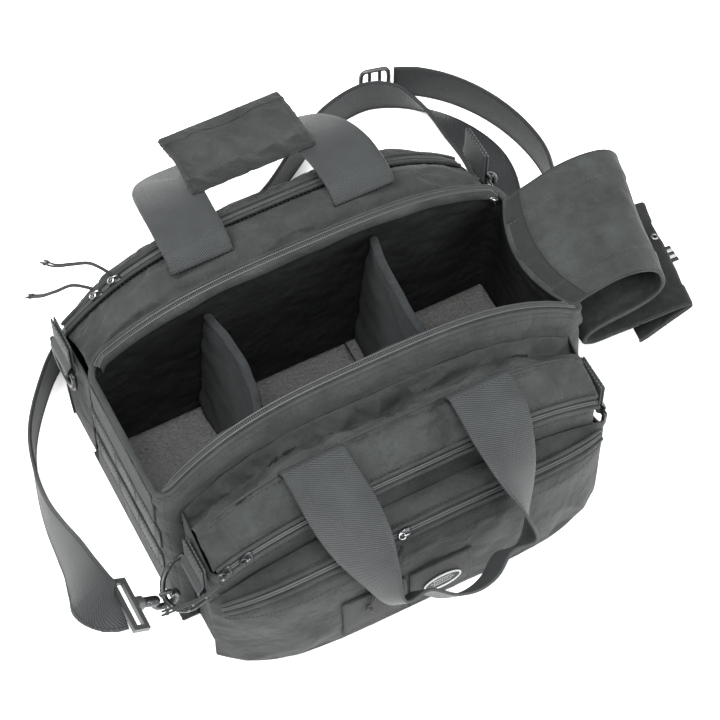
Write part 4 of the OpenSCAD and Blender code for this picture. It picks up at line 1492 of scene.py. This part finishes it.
def slump(grid, flap):
    """The roll leans: its front edge hangs lower and nearer, and the end flap fans out at the back.
    flap is 0 on the roll and 1 on the part that runs out below it."""
    x, y, z = grid[..., 0], grid[..., 1], grid[..., 2]
    reach = np.clip((x - lid_start[0]) / 91, 0, 1)
    front = (LID_HALF - y) / (2 * LID_HALF)
    dx = reach * lerp(6 - 21 * front, 20 - 22 * front, flap)
    dz = reach * lerp(2 - 17 * front, 11 * front - 6, flap)
    return np.stack([x + dx, y, z + dz], -1)


def lid_part(index, line, reached, bodies, top, blend_ends):
    """One stretch of the lid along line (x, z), riding on one body, or left in place on no body where it
    spans two
    """
    name = f"lid_part_{index + 1}"
    ys = np.concatenate([np.linspace(1, 0.66, 9), np.linspace(0.62, -0.62, 22), np.linspace(-0.66, -1, 9)])
    n = len(line)
    grid = np.zeros((n, len(ys), 3))
    half = LID_HALF - 0.4 - 3.0 * np.clip(reached - 360, 0, 30) / 30
    grid[..., 0] = line[:, None, 0]
    grid[..., 2] = line[:, None, 1]
    grid[..., 1] = half[:, None] * ys[None]
    flap = smooth((reached - 205) / 40)[:, None]
    grid = slump(grid, flap)
    near = 1 - smooth(reached / 44)[:, None]
    grid = grid + vec(-1, 0, -0.25) * (end_sag(grid[..., 1]) * near)[..., None]
    normal = grid_normals(grid)
    grid = grid + normal * LID_T / 2
    hem = (np.abs(grid[..., 1]) > LID_HALF - HEM) * 1.1
    fade_y = 1 - np.abs(ys[None]) ** 6
    ripple = 1.1 * crumple(reached[:, None], grid[..., 1], 80, 111) * fade_y
    ripple = ripple + 0.5 * creases(reached[:, None] * 0.7, grid[..., 1], 60, 112) * fade_y
    grid = grid + normal * (hem + ripple)[..., None]
    piece = Piece(name)
    tops = top
    if index == 0:
        middle = (reached[:-1] + reached[1:])[:, None] / 2
        tops = np.where(middle + 0 * ys[None, :-1] < PILE_BAND, "loop", top).ravel().tolist()
    # The underside is the same nylon painted at half brightness: painted shade inside the roll
    piece.sheet(grid, LID_T - 0.4 + hem, tops, "nylon_dark_and_painted_shade", "nylon", square=("row0", "row1"))
    for side in (-1, 1):
        col = 0 if side > 0 else -1
        edge = grid[:, col] - normal[:, col] * 1.2 + vec(0, side * 0.7, 0)
        piece.tube(edge, 0.9, "tape", sides=8)
        hem_col = 9 if side > 0 else len(ys) - 10
        if top == "nylon":
            piece.stitches(grid[2:-2, hem_col], normal[2:-2, hem_col], "thread_pale")
    if index == 0:
        # raised edge where the smooth cloth is sewn over the pile
        seam = int(np.argmax(middle[:, 0] >= PILE_BAND))
        over = grid[seam] + normal[seam] * 0.3
        piece.tube(over[1:-1], 0.9, "nylon", sides=8)
    if index == 7:
        lid_end_fittings(piece, grid, normal)
    if len(bodies) == 2:
        start, end = (vec(p[0], 0, p[1]) for p in blend_ends)
        return piece.build(between=(*bodies, start, end), replaces=())
    return piece.build(body=bodies[0], replaces=())


def lid_end_fittings(piece, grid, normal):
    """Eyelet and small striped tab near the end flap's outer fold"""
    row = int(len(grid) * 0.3)
    at, up = grid[row, 14], normal[row, 14]
    t = np.linspace(0, math.tau, 25)
    side = unit(np.cross(up, vec(0, 1, 0)))
    other = np.cross(side, up)
    ring = at + up * 0.8 + 2.4 * (np.cos(t)[:, None] * side + np.sin(t)[:, None] * other)
    piece.tube(ring, 0.9, "bright", sides=8)
    fold = int(np.argmax(grid[:, 18, 0]))
    for k in range(5):
        a = grid[fold, 18] + vec(0, -3.0 * k, 0)
        run = a + np.stack([np.linspace(-5, 4, 8), np.zeros(8), np.linspace(1.2, 0.4, 8)], 1)
        piece.ribbon(run, vec(0, 1, 0), 3.0, 1.4, "embroidery" if k % 2 else "webbing", across=3)


def fold_line(a, control, b, reach, n):
    """Straight run, round fold and straight run from a to b, as points and the ends of the fold"""
    before, after = control - a, b - control
    first = a if np.linalg.norm(before) <= reach else control - unit(before) * reach
    last = b if np.linalg.norm(after) <= reach else control + unit(after) * reach
    t = (0.5 - 0.5 * np.cos(np.pi * np.linspace(0, 1, n)))[:, None]
    bend = (1 - t) ** 2 * first + 2 * t * (1 - t) * control + t ** 2 * last
    runs = [bend]
    if np.linalg.norm(first - a) > 1:
        runs.insert(0, lerp(a, first, np.linspace(0, 1, 9)[:-1, None]))
    if np.linalg.norm(b - last) > 1:
        runs.append(lerp(last, b, np.linspace(0, 1, 9)[1:, None]))
    return np.concatenate(runs), (first, last)


def lid():
    joints = lid_points()
    mids = (joints[:-1] + joints[1:]) / 2
    attach = vec(HALF_L - 1.0, RIM_END - 1)
    reached = 0.0
    for k in range(LID_COUNT):
        a = attach if k == 0 else mids[k - 1]
        line, ends = fold_line(a, joints[k], mids[k], 9 if k == LID_COUNT - 1 else 100, 20)
        step = np.concatenate([[0], np.cumsum(np.linalg.norm(np.diff(line, axis=0), axis=1))])
        bodies = ("bag", "lid_1") if k == 0 else (f"lid_{k}", f"lid_{k + 1}")
        # From the sixth part on, the top is the half-bright nylon: the end flap's darker cloth with
        # painted shade
        made = lid_part(k, line, reached + step, bodies, "nylon" if k < 5 else "nylon_dark_and_painted_shade", ends)
        reached += step[-1]
        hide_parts(f"lid_panel_{k + 1}")
    t = np.linspace(0, 1, 12)[:, None]
    line = mids[-1] * (1 - t) + joints[-1] * t
    step = np.linspace(0, line_length(line), 12)
    # The last part's top is the half-bright nylon too: darker cloth with painted shade
    lid_part(LID_COUNT, line, reached + step, (f"lid_{LID_COUNT}",), "nylon_dark_and_painted_shade", None)


lid_start = joint_mm("lid_hinge")
lid()


# ---- CAD nodes that stay, with their finishes ----

KEPT = {
    "steel": ("d_ring_front_left", "d_ring_front_right", "d_ring_back_left", "d_ring_back_right",
              "hook_front_left", "hook_back_right", "gate_front_left", "gate_back_right"),
    "plastic": ("strap_eyes",),
    "board": ("base_stiffener",),
}
for kept_paint, kept_nodes in KEPT.items():
    for kept_node in kept_nodes:
        kept_materials = frame["nodes"][kept_node].data.materials
        kept_materials.clear()
        kept_materials.append(PAINTS[kept_paint])


# ---- Stage and light ----

FLOOR_HALF = 6.0         # metres
WORLD_STRENGTH = 0.64
# Place and width in metres, then watts. Each lamp faces the bag.
LAMPS = {
    "key": ((-1.1, 0.5, 2.4), 1.4, 128),
    "flash": ((-0.3, -0.75, 2.0), 0.7, 66),
    "fill": ((1.1, -2.0, 1.3), 1.8, 104),
}


def stage():
    mesh = bpy.data.meshes.new("floor")
    corners = [(x * FLOOR_HALF, y * FLOOR_HALF, 0) for x, y in ((-1, -1), (1, -1), (1, 1), (-1, 1))]
    mesh.from_pydata(corners, [], [(0, 1, 2, 3)])
    floor = bpy.data.objects.new("floor", mesh)
    scene.collection.objects.link(floor)
    s = Shader("pale_floor", Roughness=0.9)
    tone = s.ramp(s.noise(s.place(), 300, 2.0), [(0.0, grey(0.97)), (1.0, grey(0.99))])
    mesh.materials.append(s.finish(tone, None, None, 0))


def light():
    world = bpy.data.worlds.new("studio")
    world.use_nodes = True
    background = world.node_tree.nodes["Background"]
    background.inputs["Color"].default_value = (1, 1, 1, 1)
    background.inputs["Strength"].default_value = WORLD_STRENGTH
    scene.world = world
    for name, (place, size, watts) in LAMPS.items():
        data = bpy.data.lights.new(name, "AREA")
        data.size = size
        data.energy = watts
        lamp = bpy.data.objects.new(name, data)
        lamp.location = place
        lamp.rotation_mode = "QUATERNION"
        lamp.rotation_quaternion = (Vector(TARGET) - Vector(place)).to_track_quat("-Z", "Y")
        scene.collection.objects.link(lamp)


stage()
light()
scene.view_settings.view_transform = "Standard"
